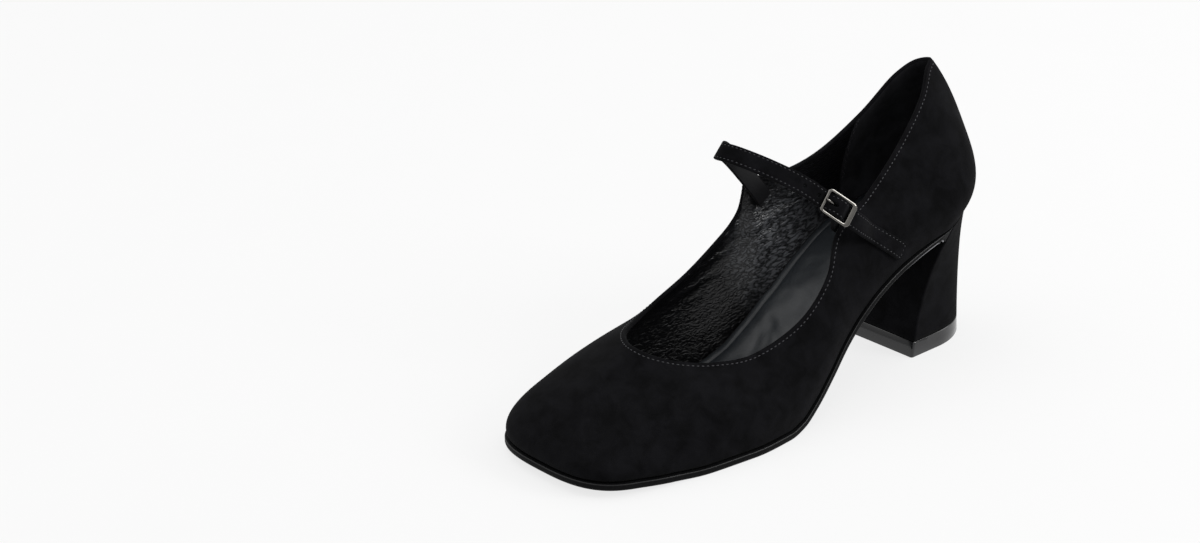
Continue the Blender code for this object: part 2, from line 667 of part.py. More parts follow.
def make_strap(line, tangent, facing, across, walked, finish):
    inside = np.arange(-FRAME_LENGTH / 2 - 0.0010, FRAME_LENGTH / 2 + 0.0010, STRAP_FINE_STEP)
    before = np.linspace(walked[0], inside[0], int((inside[0] - walked[0]) / STRAP_STEP) + 1)
    after = np.linspace(inside[-1], walked[-1], int((walked[-1] - inside[-1]) / STRAP_STEP) + 1)
    ends = [walked[0] + 0.0004, walked[-1] - 0.0004]
    stations = np.unique(np.r_[before, inside, after, ends])
    half, thick, corner = STRAP_WIDTH / 2, STRAP_THICKNESS / 2, STRAP_CORNER
    rings = []
    for station in stations:
        place, side, face = (
            np.array([np.interp(station, walked, values[:, i]) for i in range(3)])
            for values in (line, across, facing)
        )
        end = min(station - walked[0], walked[-1] - station)
        narrow = half - STRAP_END_ROUND * max(0.0, 1 - end / 0.0006) ** 2
        place = place + face * hump(np.array(station))
        section = [
            (narrow, thick - corner),
            (narrow - corner, thick),
            (corner - narrow, thick),
            (-narrow, thick - corner),
            (-narrow, corner - thick),
            (corner - narrow, -thick),
            (narrow - corner, -thick),
            (narrow, corner - thick),
        ]
        rings.append([place + side * a + face * b for a, b in section])
    return swept_solid("strap", np.array(rings), finish, sharp=40)


# Point in the buckle's own frame: along the strap, across it, and off it
def buckle_point(axes, along, across, level):
    origin, tangent, facing, side = axes
    return origin + tangent * along + side * across + facing * level


# Round bar along a path of points
def bar_solid(name, path, radius, finish, sides=10, closed=False):
    path = np.array(path)
    if closed:
        tangent = unit(np.roll(path, -1, 0) - np.roll(path, 1, 0))
    else:
        tangent = unit(np.gradient(path, axis=0))
    spread = np.linalg.svd(path - path.mean(0))[2]
    flat = spread[2]
    sideways = unit(np.cross(tangent, flat))
    turn = 2 * np.pi * np.arange(sides) / sides
    rings = (
        path[:, None]
        + sideways[:, None] * (radius * np.cos(turn))[None, :, None]
        + flat[None, None] * (radius * np.sin(turn))[None, :, None]
    )
    return swept_solid(name, rings, finish, closed=closed, sharp=50)


def boolean(target, tool, operation):
    modifier = target.modifiers.new(tool.name, "BOOLEAN")
    modifier.operation = operation
    modifier.solver = "EXACT"
    modifier.object = tool
    tool.hide_render = True
    tool.display_type = "WIRE"


# Rounded rectangle from one end to the other, as points (along, across)
def rounded_loop(low, high, half, corner, steps=4):
    points = []
    for centre_along, centre_across, start in (
        (high - corner, half - corner, 0),
        (low + corner, half - corner, 90),
        (low + corner, corner - half, 180),
        (high - corner, corner - half, 270),
    ):
        for k in range(steps + 1):
            turn = math.radians(start + 90 * k / steps)
            points.append(
                (centre_along + corner * math.cos(turn), centre_across + corner * math.sin(turn))
            )
    return points


def make_frame(axes, finish):
    half_length, half_width = FRAME_LENGTH / 2, FRAME_WIDTH / 2
    outer = rounded_loop(-half_length, half_length, half_width, FRAME_CORNER)
    inner = rounded_loop(
        -half_length + FRAME_BAR,
        half_length - FRAME_END_BAR,
        half_width - FRAME_BAR,
        FRAME_CORNER - FRAME_BAR,
    )
    low, high = FRAME_LEVEL - FRAME_THICKNESS / 2, FRAME_LEVEL + FRAME_THICKNESS / 2
    rings = [
        [
            buckle_point(axes, *far, high),
            buckle_point(axes, *near, high),
            buckle_point(axes, *near, low),
            buckle_point(axes, *far, low),
        ]
        for far, near in zip(outer, inner)
    ]
    frame = swept_solid("buckle_frame", np.array(rings), finish, closed=True, sharp=50)
    bevel = frame.modifiers.new("rounded_edges", "BEVEL")
    bevel.width = FRAME_BEVEL
    bevel.segments = 1
    bevel.limit_method = "ANGLE"
    bevel.angle_limit = math.radians(50)
    leg = half_width - FRAME_BAR / 2
    bend = 0.0006
    route = [
        (-leg, FRAME_LEVEL),
        (-leg, BAR_LEVEL + bend),
        (-leg + bend * 0.3, BAR_LEVEL + bend * 0.3),
        (-leg + bend, BAR_LEVEL),
        (leg - bend, BAR_LEVEL),
        (leg - bend * 0.3, BAR_LEVEL + bend * 0.3),
        (leg, BAR_LEVEL + bend),
        (leg, FRAME_LEVEL),
    ]
    path = [buckle_point(axes, 0.0, a, n) for a, n in route]
    boolean(frame, bar_solid("centre_bar_shape", path, CENTRE_BAR / 2, finish), "UNION")
    return frame


def make_prong(axes, finish):
    ring = CENTRE_BAR / 2 + BAR_CLEARANCE + PRONG / 2
    rest = FRAME_LEVEL + FRAME_THICKNESS / 2 + BAR_CLEARANCE + PRONG / 2
    landing = -(FRAME_LENGTH / 2 - FRAME_BAR * 1.6)
    route = []
    for angle in range(-170, 91, 20):
        turn = math.radians(angle)
        route.append((ring * math.cos(turn), BAR_LEVEL + ring * math.sin(turn)))
    for share in (0.2, 0.4, 0.6, 0.8, 1.0):
        climb = share * share * (3 - 2 * share)
        route.append((landing * share, BAR_LEVEL + ring + (rest - BAR_LEVEL - ring) * climb))
    route.append((-(FRAME_LENGTH / 2 - FRAME_BAR * 0.3), rest))
    path = [buckle_point(axes, a, 0.0, n) for a, n in route]
    return bar_solid("buckle_prong", path, PRONG / 2, finish, sides=8)


# Tab folded round the centre bar and stitched inside the outer quarter
def make_tab(axes, grid, normals, finish):
    thickness = 2 * TAB_THICKNESS
    bar = buckle_point(axes, 0.0, 0.0, BAR_LEVEL)
    inside = -(WALL + TAB_ROOM + thickness / 2)
    held = [wall_at(grid, normals, *row, inside) for row in TAB_ROUTE]
    edge = held[-1][0]
    above = edge + unit(edge - held[-2][0]) * TAB_RISE
    nodes = [place for place, _ in held] + [above, bar]
    path = curve_through(nodes, np.arange(len(nodes)), [2] * len(held) + [4], False)
    tangent = unit(np.gradient(path, axis=0))
    wall_side = unit(np.cross(tangent[0], held[0][1]))
    if np.dot(wall_side, axes[3]) < 0:
        wall_side = -wall_side
    leave = len(path) - 5
    share = np.clip((np.arange(len(path)) - leave) / 4, 0, 1)[:, None]
    side_line = unit(wall_side * (1 - share) + axes[3] * share)
    side_line = unit(side_line - tangent * (side_line * tangent).sum(1, keepdims=True))
    side_line[-1] = axes[3]
    face = np.cross(side_line, tangent)
    half, thick = TAB_WIDTH / 2, thickness / 2
    rings = [
        [p + s * half * a + f * thick * b for a, b in ((1, 1), (-1, 1), (-1, -1), (1, -1))]
        for p, s, f in zip(path, side_line, face)
    ]
    tab = swept_solid("buckle_tab", np.array(rings), finish, sharp=40)
    loop = [buckle_point(axes, 0.0, a, BAR_LEVEL) for a in (-half, 0.0, half)]
    hole = [buckle_point(axes, 0.0, a, BAR_LEVEL) for a in (-2 * half, 0.0, 2 * half)]
    boolean(tab, straight_bar("tab_loop_shape", loop, LOOP_RADIUS, axes, finish), "UNION")
    hole_radius = CENTRE_BAR / 2 + BAR_CLEARANCE
    boolean(tab, straight_bar("tab_hole_cutter", hole, hole_radius, axes, finish), "DIFFERENCE")
    slot_reach = LOOP_RADIUS + 0.0012
    corners = [
        buckle_point(axes, a, b, BAR_LEVEL + n)
        for n in (-slot_reach, slot_reach)
        for a, b in (
            (-slot_reach, -TAB_SLOT / 2),
            (slot_reach, -TAB_SLOT / 2),
            (slot_reach, TAB_SLOT / 2),
            (-slot_reach, TAB_SLOT / 2),
        )
    ]
    slot = swept_solid("tab_slot_cutter", np.array(corners).reshape(2, 4, 3), finish)
    boolean(tab, slot, "DIFFERENCE")
    return tab


# Straight round bar across the buckle
def straight_bar(name, path, radius, axes, finish, sides=16):
    turn = 2 * np.pi * (np.arange(sides) + 0.5) / sides
    rings = [
        [p + axes[1] * radius * math.cos(t) + axes[2] * radius * math.sin(t) for t in turn] for p in path
    ]
    return swept_solid(name, np.array(rings), finish)


# Punched hole through the strap: an oval cutter standing on the strap's face
def punch(strap, name, origin, tangent, facing, length, width, finish):
    across = np.cross(tangent, facing)
    turn = 2 * np.pi * np.arange(12) / 12
    rings = [
        [
            origin + tangent * length / 2 * math.cos(t) + across * width / 2 * math.sin(t) + facing * level
            for t in turn
        ]
        for level in (-2 * STRAP_THICKNESS, 2 * STRAP_THICKNESS)
    ]
    boolean(strap, swept_solid(name, np.array(rings), finish), "DIFFERENCE")


# Puts the origin on the floor under the middle of the whole shoe
def stand_on_origin():
    bpy.context.view_layer.update()
    graph = bpy.context.evaluated_depsgraph_get()
    corners = []
    for made in bpy.data.objects:
        if not made.hide_render:
            points = made.evaluated_get(graph).to_mesh().vertices
            corners += [tuple(point.co) for point in points]
    low, high = np.min(corners, 0), np.max(corners, 0)
    carrier = bpy.data.objects.new("shoe", None)
    bpy.context.scene.collection.objects.link(carrier)
    for made in bpy.data.objects:
        if made is not carrier:
            made.parent = carrier
    carrier.location = (-(low[0] + high[0]) / 2, -(low[1] + high[1]) / 2, -low[2])


def main():
    for old in list(bpy.data.objects):
        bpy.data.objects.remove(old, do_unlink=True)
    suede = material("black_suede", (0.008, 0.008, 0.009), 0.9)
    sole_leather = material("black_sole_leather", (0.012, 0.012, 0.013), 0.45)
    rubber = material("black_lift_rubber", (0.015, 0.015, 0.016), 0.35)
    sock = material("grey_sock_leather", (0.035, 0.037, 0.043), 0.4)
    nickel = material("dark_nickel", (0.45, 0.45, 0.44), 0.18, 1.0)
    make_outsole(sole_leather)
    make_upper(suede)
    make_insole(sock)
    heel_solid("heel_block", LIFT_HEIGHT + GAP, None, 10, suede)
    heel_solid("top_lift", 0.0, LIFT_HEIGHT, 1, rubber)
    grid = wall_grid()
    normals = wall_normals(grid)
    line, tangent, facing, across, walked, buckle = strap_line(grid, normals)
    axes = (line[buckle], tangent[buckle], facing[buckle], across[buckle])
    strap = make_strap(line, tangent, facing, across, walked, suede)
    punched = [("prong_hole_cutter", PRONG_HOLE, PRONG_HOLE_LENGTH)]
    for k in range(FREE_HOLES):
        punched.append((f"free_hole_cutter_{k + 1}", PRONG_HOLE - HOLE_PITCH * (k + 1), HOLE_DIAMETER))
    for name, distance, length in punched:
        spot = int(np.argmin(np.abs(walked - distance)))
        place = line[spot] + facing[spot] * float(hump(np.array(distance)))
        punch(strap, name, place, tangent[spot], facing[spot], length, HOLE_DIAMETER, suede)
    make_frame(axes, nickel)
    make_prong(axes, nickel)
    make_tab(axes, grid, normals, suede)
    stand_on_origin()


main()
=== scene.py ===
import math

import bmesh
import bpy
import numpy as np
from mathutils import Matrix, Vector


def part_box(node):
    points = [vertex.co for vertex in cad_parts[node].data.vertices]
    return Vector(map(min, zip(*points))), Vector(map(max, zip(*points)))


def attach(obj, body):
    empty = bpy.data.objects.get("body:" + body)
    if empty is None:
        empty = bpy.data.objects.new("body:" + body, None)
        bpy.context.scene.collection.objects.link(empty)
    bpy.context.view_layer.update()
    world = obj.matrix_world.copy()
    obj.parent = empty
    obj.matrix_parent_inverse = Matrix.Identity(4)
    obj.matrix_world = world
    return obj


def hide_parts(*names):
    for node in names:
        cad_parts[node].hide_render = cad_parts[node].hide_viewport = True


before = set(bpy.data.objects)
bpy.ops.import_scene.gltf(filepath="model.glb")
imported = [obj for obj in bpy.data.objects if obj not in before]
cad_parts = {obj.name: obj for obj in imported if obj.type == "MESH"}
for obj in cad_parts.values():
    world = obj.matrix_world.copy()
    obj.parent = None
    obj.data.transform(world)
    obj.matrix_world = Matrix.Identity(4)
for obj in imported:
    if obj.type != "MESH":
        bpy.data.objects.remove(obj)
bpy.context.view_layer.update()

# A left mary jane pump. Lengths are in metres. A point of the last is (out, along, up): out to the
# wearer's left, along from the centre back to the toe, up from the floor, as in the part's source.

mm = 0.001

last = {
    "shoeLength": 0.2398,
    "ballWidth": 0.0880,
    "waistWidth": 0.0534,
    "seatWidth": 0.0548,
    "heelHeight": 0.0662,
    "counterHeight": 0.0618,
    "instepHeight": 0.1105,
    "heelRound": 0.0350,
    "heelRoundness": 1.9,
    "toeRound": 0.0390,
    "toeSquareness": 2.9,
    "toeSpring": 0.0038,
}
wall = {"thickness": 0.0018, "margin": 0.0070, "featherRadius": 0.0022, "leanBlend": 0.0150}
sole = {
    "thickness": 0.0030,
    "waistThickness": 0.0022,
    "edge": 0.0007,
    "curl": 0.0060,
    "bend": 0.0125,
    "insole": 0.0024,
}
heel = {
    "lift": 0.0072,
    "baseLength": 0.0448,
    "baseWidth": 0.0434,
    "baseBack": 0.0030,
    "baseRound": 0.0270,
    "baseRoundness": 2.0,
    "topLength": 0.0275,
    "inset": 0.0016,
    "waist": 0.0016,
}
strapSize = {
    "width": 0.0082,
    "thickness": 0.0015,
    "ease": 0.0060,
    "hole": 0.0016,
    "pitch": 0.0070,
    "freeHoles": 2,
}
buckleSize = {
    "length": 0.0156,
    "bar": 0.0012,
    "endBar": 0.0024,
    "thickness": 0.0013,
    "corner": 0.0022,
    "centreBar": 0.0011,
    "drop": 0.0017,
    "clearance": 0.0002,
    "tabThickness": 0.0008,
    "tabWidth": 0.0076,
    "tabSlot": 0.0022,
    "prong": 0.0009,
    "prongHole": -0.0031,
    "prongHoleLength": 0.0040,
    "tabRise": 0.0032,
    "tabRoom": 0.0006,
}
gap = 0.0003

# Footprint: along, width, swing
footprint = np.array(
    [
        (0.000, last["seatWidth"] * 1.000, 0.010),
        (0.124, last["seatWidth"] * 1.000, 0.015),
        (0.249, last["waistWidth"] * 1.030, 0.026),
        (0.373, last["waistWidth"] * 1.000, 0.056),
        (0.489, last["waistWidth"] * 0.50 + last["ballWidth"] * 0.40, 0.060),
        (0.601, last["ballWidth"] * 0.890, 0.021),
        (0.684, last["ballWidth"] * 0.984, -0.019),
        (0.767, last["ballWidth"] * 0.995, -0.052),
        (0.850, last["ballWidth"] * 0.960, -0.082),
        (0.920, last["ballWidth"] * 0.905, -0.087),
        (1.000, last["ballWidth"] * 0.910, -0.078),
    ]
)

# Underside: along, rise, spring
undersideRows = np.array(
    [
        (0.000, 1.000, 0.0),
        (0.056, 0.918, 0.0),
        (0.119, 0.852, 0.0),
        (0.181, 0.812, 0.0),
        (0.245, 0.757, 0.0),
        (0.328, 0.634, 0.0),
        (0.411, 0.410, 0.0),
        (0.461, 0.248, 0.0),
        (0.515, 0.098, 0.0),
        (0.553, 0.026, 0.0),
        (0.591, 0.000, 0.0),
        (0.787, 0.000, 0.0),
        (0.870, 0.000, 0.36),
        (0.953, 0.000, 0.76),
        (1.000, 0.000, 1.00),
    ]
)

# Front of the heel: height, and how far it has swept back
breastRows = np.array([(0.00, 0.00), (0.36, 0.20), (0.61, 0.41), (0.75, 0.58), (0.89, 0.82), (1.00, 1.00)])

# Upper's sections: foot, topAlong, topOut, topUp, lowLean, topLean, lowReach, topReach
outerSections = [
    (0.000, 0.067, 0.000, 1.000, 25, 42, 0.34, 0.35),
    (0.018, 0.089, 0.037, 0.978, 25, 30, 0.38, 0.30),
    (0.074, 0.126, 0.092, 0.908, 35, 32, 0.37, 0.37),
    (0.180, 0.206, 0.143, 0.779, 14, 32, 0.37, 0.34),
    (0.294, 0.304, 0.186, 0.658, 12, 34, 0.36, 0.34),
    (0.387, 0.396, 0.232, 0.580, 12, 34, 0.36, 0.34),
    (0.442, 0.444, 0.300, 0.470, 12, 34, 0.38, 0.34),
    (0.511, 0.511, 0.310, 0.358, 12, 38, 0.40, 0.36),
    (0.612, 0.612, 0.265, 0.283, 10, 52, 0.42, 0.40),
    (0.740, 0.682, 0.190, 0.277, 6, 66, 0.35, 0.38),
    (0.880, 0.734, 0.096, 0.292, 4, 62, 0.17, 0.36),
    (0.972, 0.764, 0.010, 0.311, 2, 56, 0.10, 0.38),
    (1.000, 0.776, -0.070, 0.326, 2, 64, 0.14, 0.42),
]
innerSections = [
    (0.018, 0.078, -0.074, 0.988, 27, 40, 0.42, 0.35),
    (0.074, 0.114, -0.125, 0.944, 20, 30, 0.38, 0.34),
    (0.180, 0.186, -0.170, 0.830, 13, 26, 0.36, 0.34),
    (0.282, 0.279, -0.228, 0.720, 10, 24, 0.36, 0.34),
    (0.340, 0.344, -0.278, 0.680, 9, 20, 0.36, 0.34),
    (0.376, 0.392, -0.322, 0.677, 8, 16, 0.36, 0.34),
    (0.392, 0.409, -0.324, 0.700, 8, 14, 0.36, 0.34),
    (0.402, 0.417, -0.325, 0.716, 8, 13, 0.36, 0.34),
    (0.411, 0.422, -0.335, 0.692, 8, 13, 0.36, 0.34),
    (0.424, 0.424, -0.350, 0.622, 8, 14, 0.36, 0.34),
    (0.438, 0.430, -0.360, 0.566, 8, 16, 0.36, 0.34),
    (0.460, 0.448, -0.368, 0.520, 8, 18, 0.36, 0.34),
    (0.502, 0.488, -0.380, 0.462, 8, 22, 0.36, 0.34),
    (0.560, 0.550, -0.390, 0.392, 8, 28, 0.38, 0.34),
    (0.650, 0.632, -0.378, 0.338, 8, 44, 0.40, 0.36),
    (0.760, 0.690, -0.336, 0.314, 5, 66, 0.34, 0.45),
    (0.880, 0.738, -0.260, 0.320, 4, 66, 0.24, 0.44),
    (0.972, 0.767, -0.160, 0.326, 6, 63, 0.19, 0.48),
]

# Strap: its root inside the wall, its free run, its tail on the wall
strapRoot = [("inner", 0.384, 0.588, 0.0004), ("inner", 0.404, 0.634, 0.0018)]
strapRoute = [
    (-0.298, 0.458, 0.882),
    (-0.248, 0.503, 0.966),
    (-0.184, 0.533, 0.996),
    (-0.088, 0.531, 0.998),
    (0.052, 0.498, 0.954),
    (0.178, 0.457, 0.886),
    (0.276, 0.415, 0.794),
    (0.322, 0.376, 0.718),
]
buckleRow = 6
strapTail = [
    ("outer", 0.330, 0.547, 0.0005),
    ("outer", 0.309, 0.517, 0.0002),
    ("outer", 0.291, 0.491, 0.0002),
    ("outer", 0.272, 0.464, 0.0002),
]
strapAcross = (0.12, 0.70, -0.70)
tabRoute = [("outer", 0.352, 0.545), ("outer", 0.364, 0.576), ("outer", 0.372, 0.594)]


def unit(vectors):
    return vectors / np.maximum(np.linalg.norm(vectors, axis=-1, keepdims=True), 1e-12)


def smooth(share):
    # 3 s^2 - 2 s^3, held at 0 and 1
    share = np.clip(share, 0, 1)
    return share * share * (3 - 2 * share)


def walkAlong(points):
    # length walked along a line, from 0 at its first point
    return np.r_[0, np.cumsum(np.linalg.norm(np.diff(points, axis=0), axis=1))]


def sampled(at, stations, values):
    # every column of values at the places asked for, straight between the stations
    return np.stack([np.interp(at, stations, column) for column in values.T], -1)


def arc(start, middle, end, t):
    # quadratic Bezier: a (1 - t)^2 + 2 b t (1 - t) + c t^2
    return start * (1 - t) ** 2 + middle * 2 * t * (1 - t) + end * t * t


def readTable(at, stations, values):
    # piecewise cubic with weighted harmonic mean slopes, so no overshoot
    x = np.asarray(stations, float)
    y = np.asarray(values, float)
    step = np.diff(x)
    slope = np.diff(y) / step
    tangent = np.zeros(len(x))
    tangent[0] = slope[0]
    tangent[-1] = slope[-1]
    turning = slope[:-1] * slope[1:] <= 0
    safe = np.where(turning, 1.0, slope[:-1])
    safeNext = np.where(turning, 1.0, slope[1:])
    first = 2 * step[1:] + step[:-1]
    second = step[1:] + 2 * step[:-1]
    mean = (first + second) / (first / safe + second / safeNext)
    tangent[1:-1] = np.where(turning, 0.0, mean)
    at = np.clip(np.asarray(at, float), x[0], x[-1])
    k = np.clip(np.searchsorted(x, at, side="right") - 1, 0, len(step) - 1)
    t = (at - x[k]) / step[k]
    rise = y[k] * (1 + 2 * t) * (1 - t) ** 2 + y[k + 1] * t * t * (3 - 2 * t)
    return rise + step[k] * (tangent[k] * t * (1 - t) ** 2 + tangent[k + 1] * t * t * (t - 1))


def curveThrough(rows, knots, counts, closed):
    # cubic Hermite through the rows, slopes weighted by the neighbouring knot gaps
    rows = np.asarray(rows, float)
    total = len(rows)
    spans = total if closed else total - 1
    gaps = np.diff(knots)
    chords = np.array([(rows[(i + 1) % total] - rows[i]) / gaps[i] for i in range(spans)])
    tangents = np.zeros_like(rows)
    for i in range(total):
        before = (i - 1) % spans if closed else max(i - 1, 0)
        after = i if closed else min(i, spans - 1)
        weight = gaps[before] / (gaps[before] + gaps[after])
        tangents[i] = chords[before] * (1 - weight) + chords[after] * weight
    points = []
    for i in range(spans):
        t = (np.arange(counts[i]) / counts[i])[:, None]
        here, there = rows[i], rows[(i + 1) % total]
        enter, leave = tangents[i] * gaps[i], tangents[(i + 1) % total] * gaps[i]
        points.append(
            here * (1 + 2 * t) * (1 - t) ** 2
            + there * t * t * (3 - 2 * t)
            + enter * t * (1 - t) ** 2
            + leave * t * t * (t - 1)
        )
    if not closed:
        points.append(rows[-1:])
    return np.concatenate(points)


def underside(along):
    share = np.asarray(along) / last["shoeLength"]
    rise = readTable(share, undersideRows[:, 0], undersideRows[:, 1])
    spring = readTable(share, undersideRows[:, 0], undersideRows[:, 2])
    return rise * last["heelHeight"] + spring * last["toeSpring"]


def soleThickness(along):
    # thinned under the seat, full from 0.6 of the length on
    share = np.asarray(along) / last["shoeLength"]
    seatEnd = heel["topLength"] / last["shoeLength"]
    values = [sole["waistThickness"] * 0.4, sole["waistThickness"], sole["thickness"]]
    return readTable(share, [0.0, seatEnd, 0.6], values)


def steepness(along):
    # sqrt(1 + slope^2) turns a thickness into a height
    step = 0.0005
    rise = underside(np.asarray(along) + step) - underside(np.asarray(along) - step)
    return np.sqrt(1 + (rise / (2 * step)) ** 2)


def soleTop(along):
    return underside(along) + soleThickness(along) * steepness(along)


def featherHeight(along):
    return soleTop(along) + gap * steepness(along)


def halfWidth(along):
    # table width times (1 - u^n)^(1/n) at the back and the toe
    share = along / last["shoeLength"]
    half = readTable(share, footprint[:, 0], footprint[:, 1] / 2)
    back = np.clip(1 - along / last["heelRound"], 0, 1)
    toe = np.clip(1 - (last["shoeLength"] - along) / last["toeRound"], 0, 1)
    half = half * (1 - back ** last["heelRoundness"]) ** (1 / last["heelRoundness"])
    return half * (1 - toe ** last["toeSquareness"]) ** (1 / last["toeSquareness"])


def swing(along):
    return readTable(along / last["shoeLength"], footprint[:, 0], footprint[:, 2] * last["ballWidth"])


def footprintLoop(inset, count=240):
    # outer side from the centre back to the toe, then the inner side back
    along = last["shoeLength"] * (1 - np.cos(np.pi * np.arange(count + 1) / count)) / 2
    outer = np.stack([swing(along) + halfWidth(along), along], 1)
    inner = np.stack([swing(along) - halfWidth(along), along], 1)[::-1]
    loop = np.concatenate([outer, inner[1:-1]])
    travel = unit(np.roll(loop, -1, 0) - np.roll(loop, 1, 0))
    outward = np.stack([travel[:, 1], -travel[:, 0]], 1)
    return loop - outward * inset, outward, count


def bothSides(loop, count):
    # outer and inner side of a closed loop, each from the centre back to the toe
    return loop[: count + 1], np.concatenate([loop[count:], loop[:1]])[::-1]


def edgesAt(along, inset):
    loop, _, count = footprintLoop(inset)
    return tuple(np.interp(along, side[:, 1], side[:, 0]) for side in bothSides(loop, count))


# The part stands with its origin under the middle of its box; the sole's box gives the shift
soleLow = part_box("outsole")[0]
everyAlong = np.linspace(heel["topLength"], last["shoeLength"], 4000)
innermost = (swing(everyAlong) - halfWidth(everyAlong)).min()
shift = np.array([soleLow[0] - innermost, soleLow[1] + last["shoeLength"], 0.0])


def toWorld(points):
    points = np.asarray(points, float)
    return np.stack([points[..., 0], -points[..., 1], points[..., 2]], -1) + shift


# Camera: solved from the photo, with the reference point on the last that it was solved about.
# Focal length and width are in the photo's pixels, angles in degrees, sensor in millimetres
camera = {
    "focal": 2586.0,
    "width": 1200,
    "sensor": 36.0,
    "azimuth": 49.491,
    "elevation": 23.578,
    "roll": 1.638,
    "reference": (0.0, 0.1085, 0.040),
    "offset": (-0.07699, 0.01510, 1.11140),
}


def makeCamera():
    azimuth, elevation, roll = (math.radians(camera[k]) for k in ("azimuth", "elevation", "roll"))
    right = np.array([math.cos(azimuth), math.sin(azimuth), 0.0])
    back = np.array([math.sin(azimuth), -math.cos(azimuth), 0.0]) * math.cos(elevation)
    back[2] = math.sin(elevation)
    up = np.cross(back, right)
    place = toWorld(camera["reference"])
    for way, amount in zip((right, up, back), camera["offset"]):
        place = place + way * amount
    turnedRight = right * math.cos(roll) - up * math.sin(roll)
    turnedUp = right * math.sin(roll) + up * math.cos(roll)
    data = bpy.data.cameras.new("photoCamera")
    data.sensor_width = camera["sensor"]
    data.sensor_fit = "HORIZONTAL"
    data.lens = camera["focal"] * camera["sensor"] / camera["width"]
    eye = bpy.data.objects.new("photoCamera", data)
    bpy.context.scene.collection.objects.link(eye)
    matrix = Matrix(np.column_stack([turnedRight, turnedUp, back]).tolist()).to_4x4()
    matrix.translation = place.tolist()
    eye.matrix_world = matrix
    bpy.context.scene.camera = eye


makeCamera()
print("camera placed")


# Materials: sizes of patterns and depths of bumps are in millimetres
def linear(code):
    # sRGB hex to linear: ((c + 0.055) / 1.055)^2.4 above 0.04045
    parts = [int(code[i : i + 2], 16) / 255 for i in (1, 3, 5)]
    return [p / 12.92 if p <= 0.04045 else ((p + 0.055) / 1.055) ** 2.4 for p in parts] + [1.0]


def fill(tree, node, inputs):
    # a socket is linked, anything else is a constant
    for socket, value in inputs.items():
        if isinstance(value, bpy.types.NodeSocket):
            tree.links.new(value, node.inputs[socket])
        else:
            node.inputs[socket].default_value = value


def addNode(tree, kind, inputs=None, **settings):
    made = tree.nodes.new("ShaderNode" + kind)
    for name, value in settings.items():
        setattr(made, name, value)
    fill(tree, made, inputs or {})
    return made


def startMaterial(name):
    made = bpy.data.materials.new(name)
    made.use_nodes = True
    tree = made.node_tree
    coordinates = addNode(tree, "TexCoord").outputs["Object"]
    return made, tree, tree.nodes["Principled BSDF"], coordinates


def noise(tree, coordinates, size, detail=3.0, rough=0.5, distortion=0.0):
    inputs = {
        "Vector": coordinates,
        "Scale": 1 / (size * mm),
        "Detail": detail,
        "Roughness": rough,
        "Distortion": distortion,
    }
    return addNode(tree, "TexNoise", inputs).outputs["Fac"]


def ramp(tree, value, low, high):
    inputs = {"Value": value, "From Min": low, "From Max": high}
    return addNode(tree, "MapRange", inputs).outputs["Result"]


def compute(tree, operation, *values):
    return addNode(tree, "Math", dict(enumerate(values)), operation=operation).outputs[0]


def mixColours(tree, factor, *colours):
    # each colour is a hex code or a socket
    first, second = (linear(one) if isinstance(one, str) else one for one in colours)
    return addNode(tree, "Mix", {0: factor, 6: first, 7: second}, data_type="RGBA").outputs[2]


def bump(tree, height, distance, strength=1.0, below=None):
    inputs = {"Height": height, "Distance": distance * mm, "Strength": strength}
    if below is not None:
        inputs["Normal"] = below
    return addNode(tree, "Bump", inputs).outputs["Normal"]


# Suede: brushed nap that scatters light at grazing angles, so a high roughness and a little sheen
suedeLook = {
    "dark": "#080809",
    "light": "#101012",
    "patch": 9.0,
    "patchDepth": 0.25,
    "nap": 0.5,
    "napDepth": 0.06,
    "roughness": 0.95,
    "shine": 0.025,
    "sheen": 0.015,
    "sheenRoughness": 0.5,
}


def suedeMaterial(name, dark, light):
    made, tree, shader, coordinates = startMaterial(name)
    patches = noise(tree, coordinates, suedeLook["patch"], detail=5.0, rough=0.6, distortion=0.4)
    nap = noise(tree, coordinates, suedeLook["nap"], detail=4.0, rough=0.7)
    low = bump(tree, patches, suedeLook["patchDepth"], strength=0.5)
    inputs = {
        "Base Color": mixColours(tree, ramp(tree, patches, 0.35, 0.65), dark, light),
        "Roughness": suedeLook["roughness"],
        "Specular IOR Level": suedeLook["shine"],
        "Sheen Weight": suedeLook["sheen"],
        "Sheen Roughness": suedeLook["sheenRoughness"],
        "Normal": bump(tree, nap, suedeLook["napDepth"], strength=0.6, below=low),
    }
    fill(tree, shader, inputs)
    return made


# Lining: thin glazed leather, wrinkled in fine lines where the last drew it out along the shoe.
# Centre and reach of the painted highlight on the inner wall are in metres, slope of the lines in degrees,
# broad wrinkles as many times the fine ones
liningLook = {
    "dark": "#060607",
    "light": "#0f0f11",
    # painted highlight: lighter colour for the wrinkle ridges of the inner wall under the strap
    "paintedHighlight": "#6b6d71",
    "centre": (-0.018, 0.036, 0.049),
    "reach": 0.034,
    "core": 0.004,
    "wrinkle": 1.4,
    "wrinkleDepth": 0.16,
    "broad": 3,
    "broadDepth": 0.6,
    "valley": 0.16,
    "stretch": 3.0,
    "slope": 6.0,
    "grain": 0.45,
    "grainDepth": 0.04,
    "roughness": 0.3,
    "shine": 0.4,
}


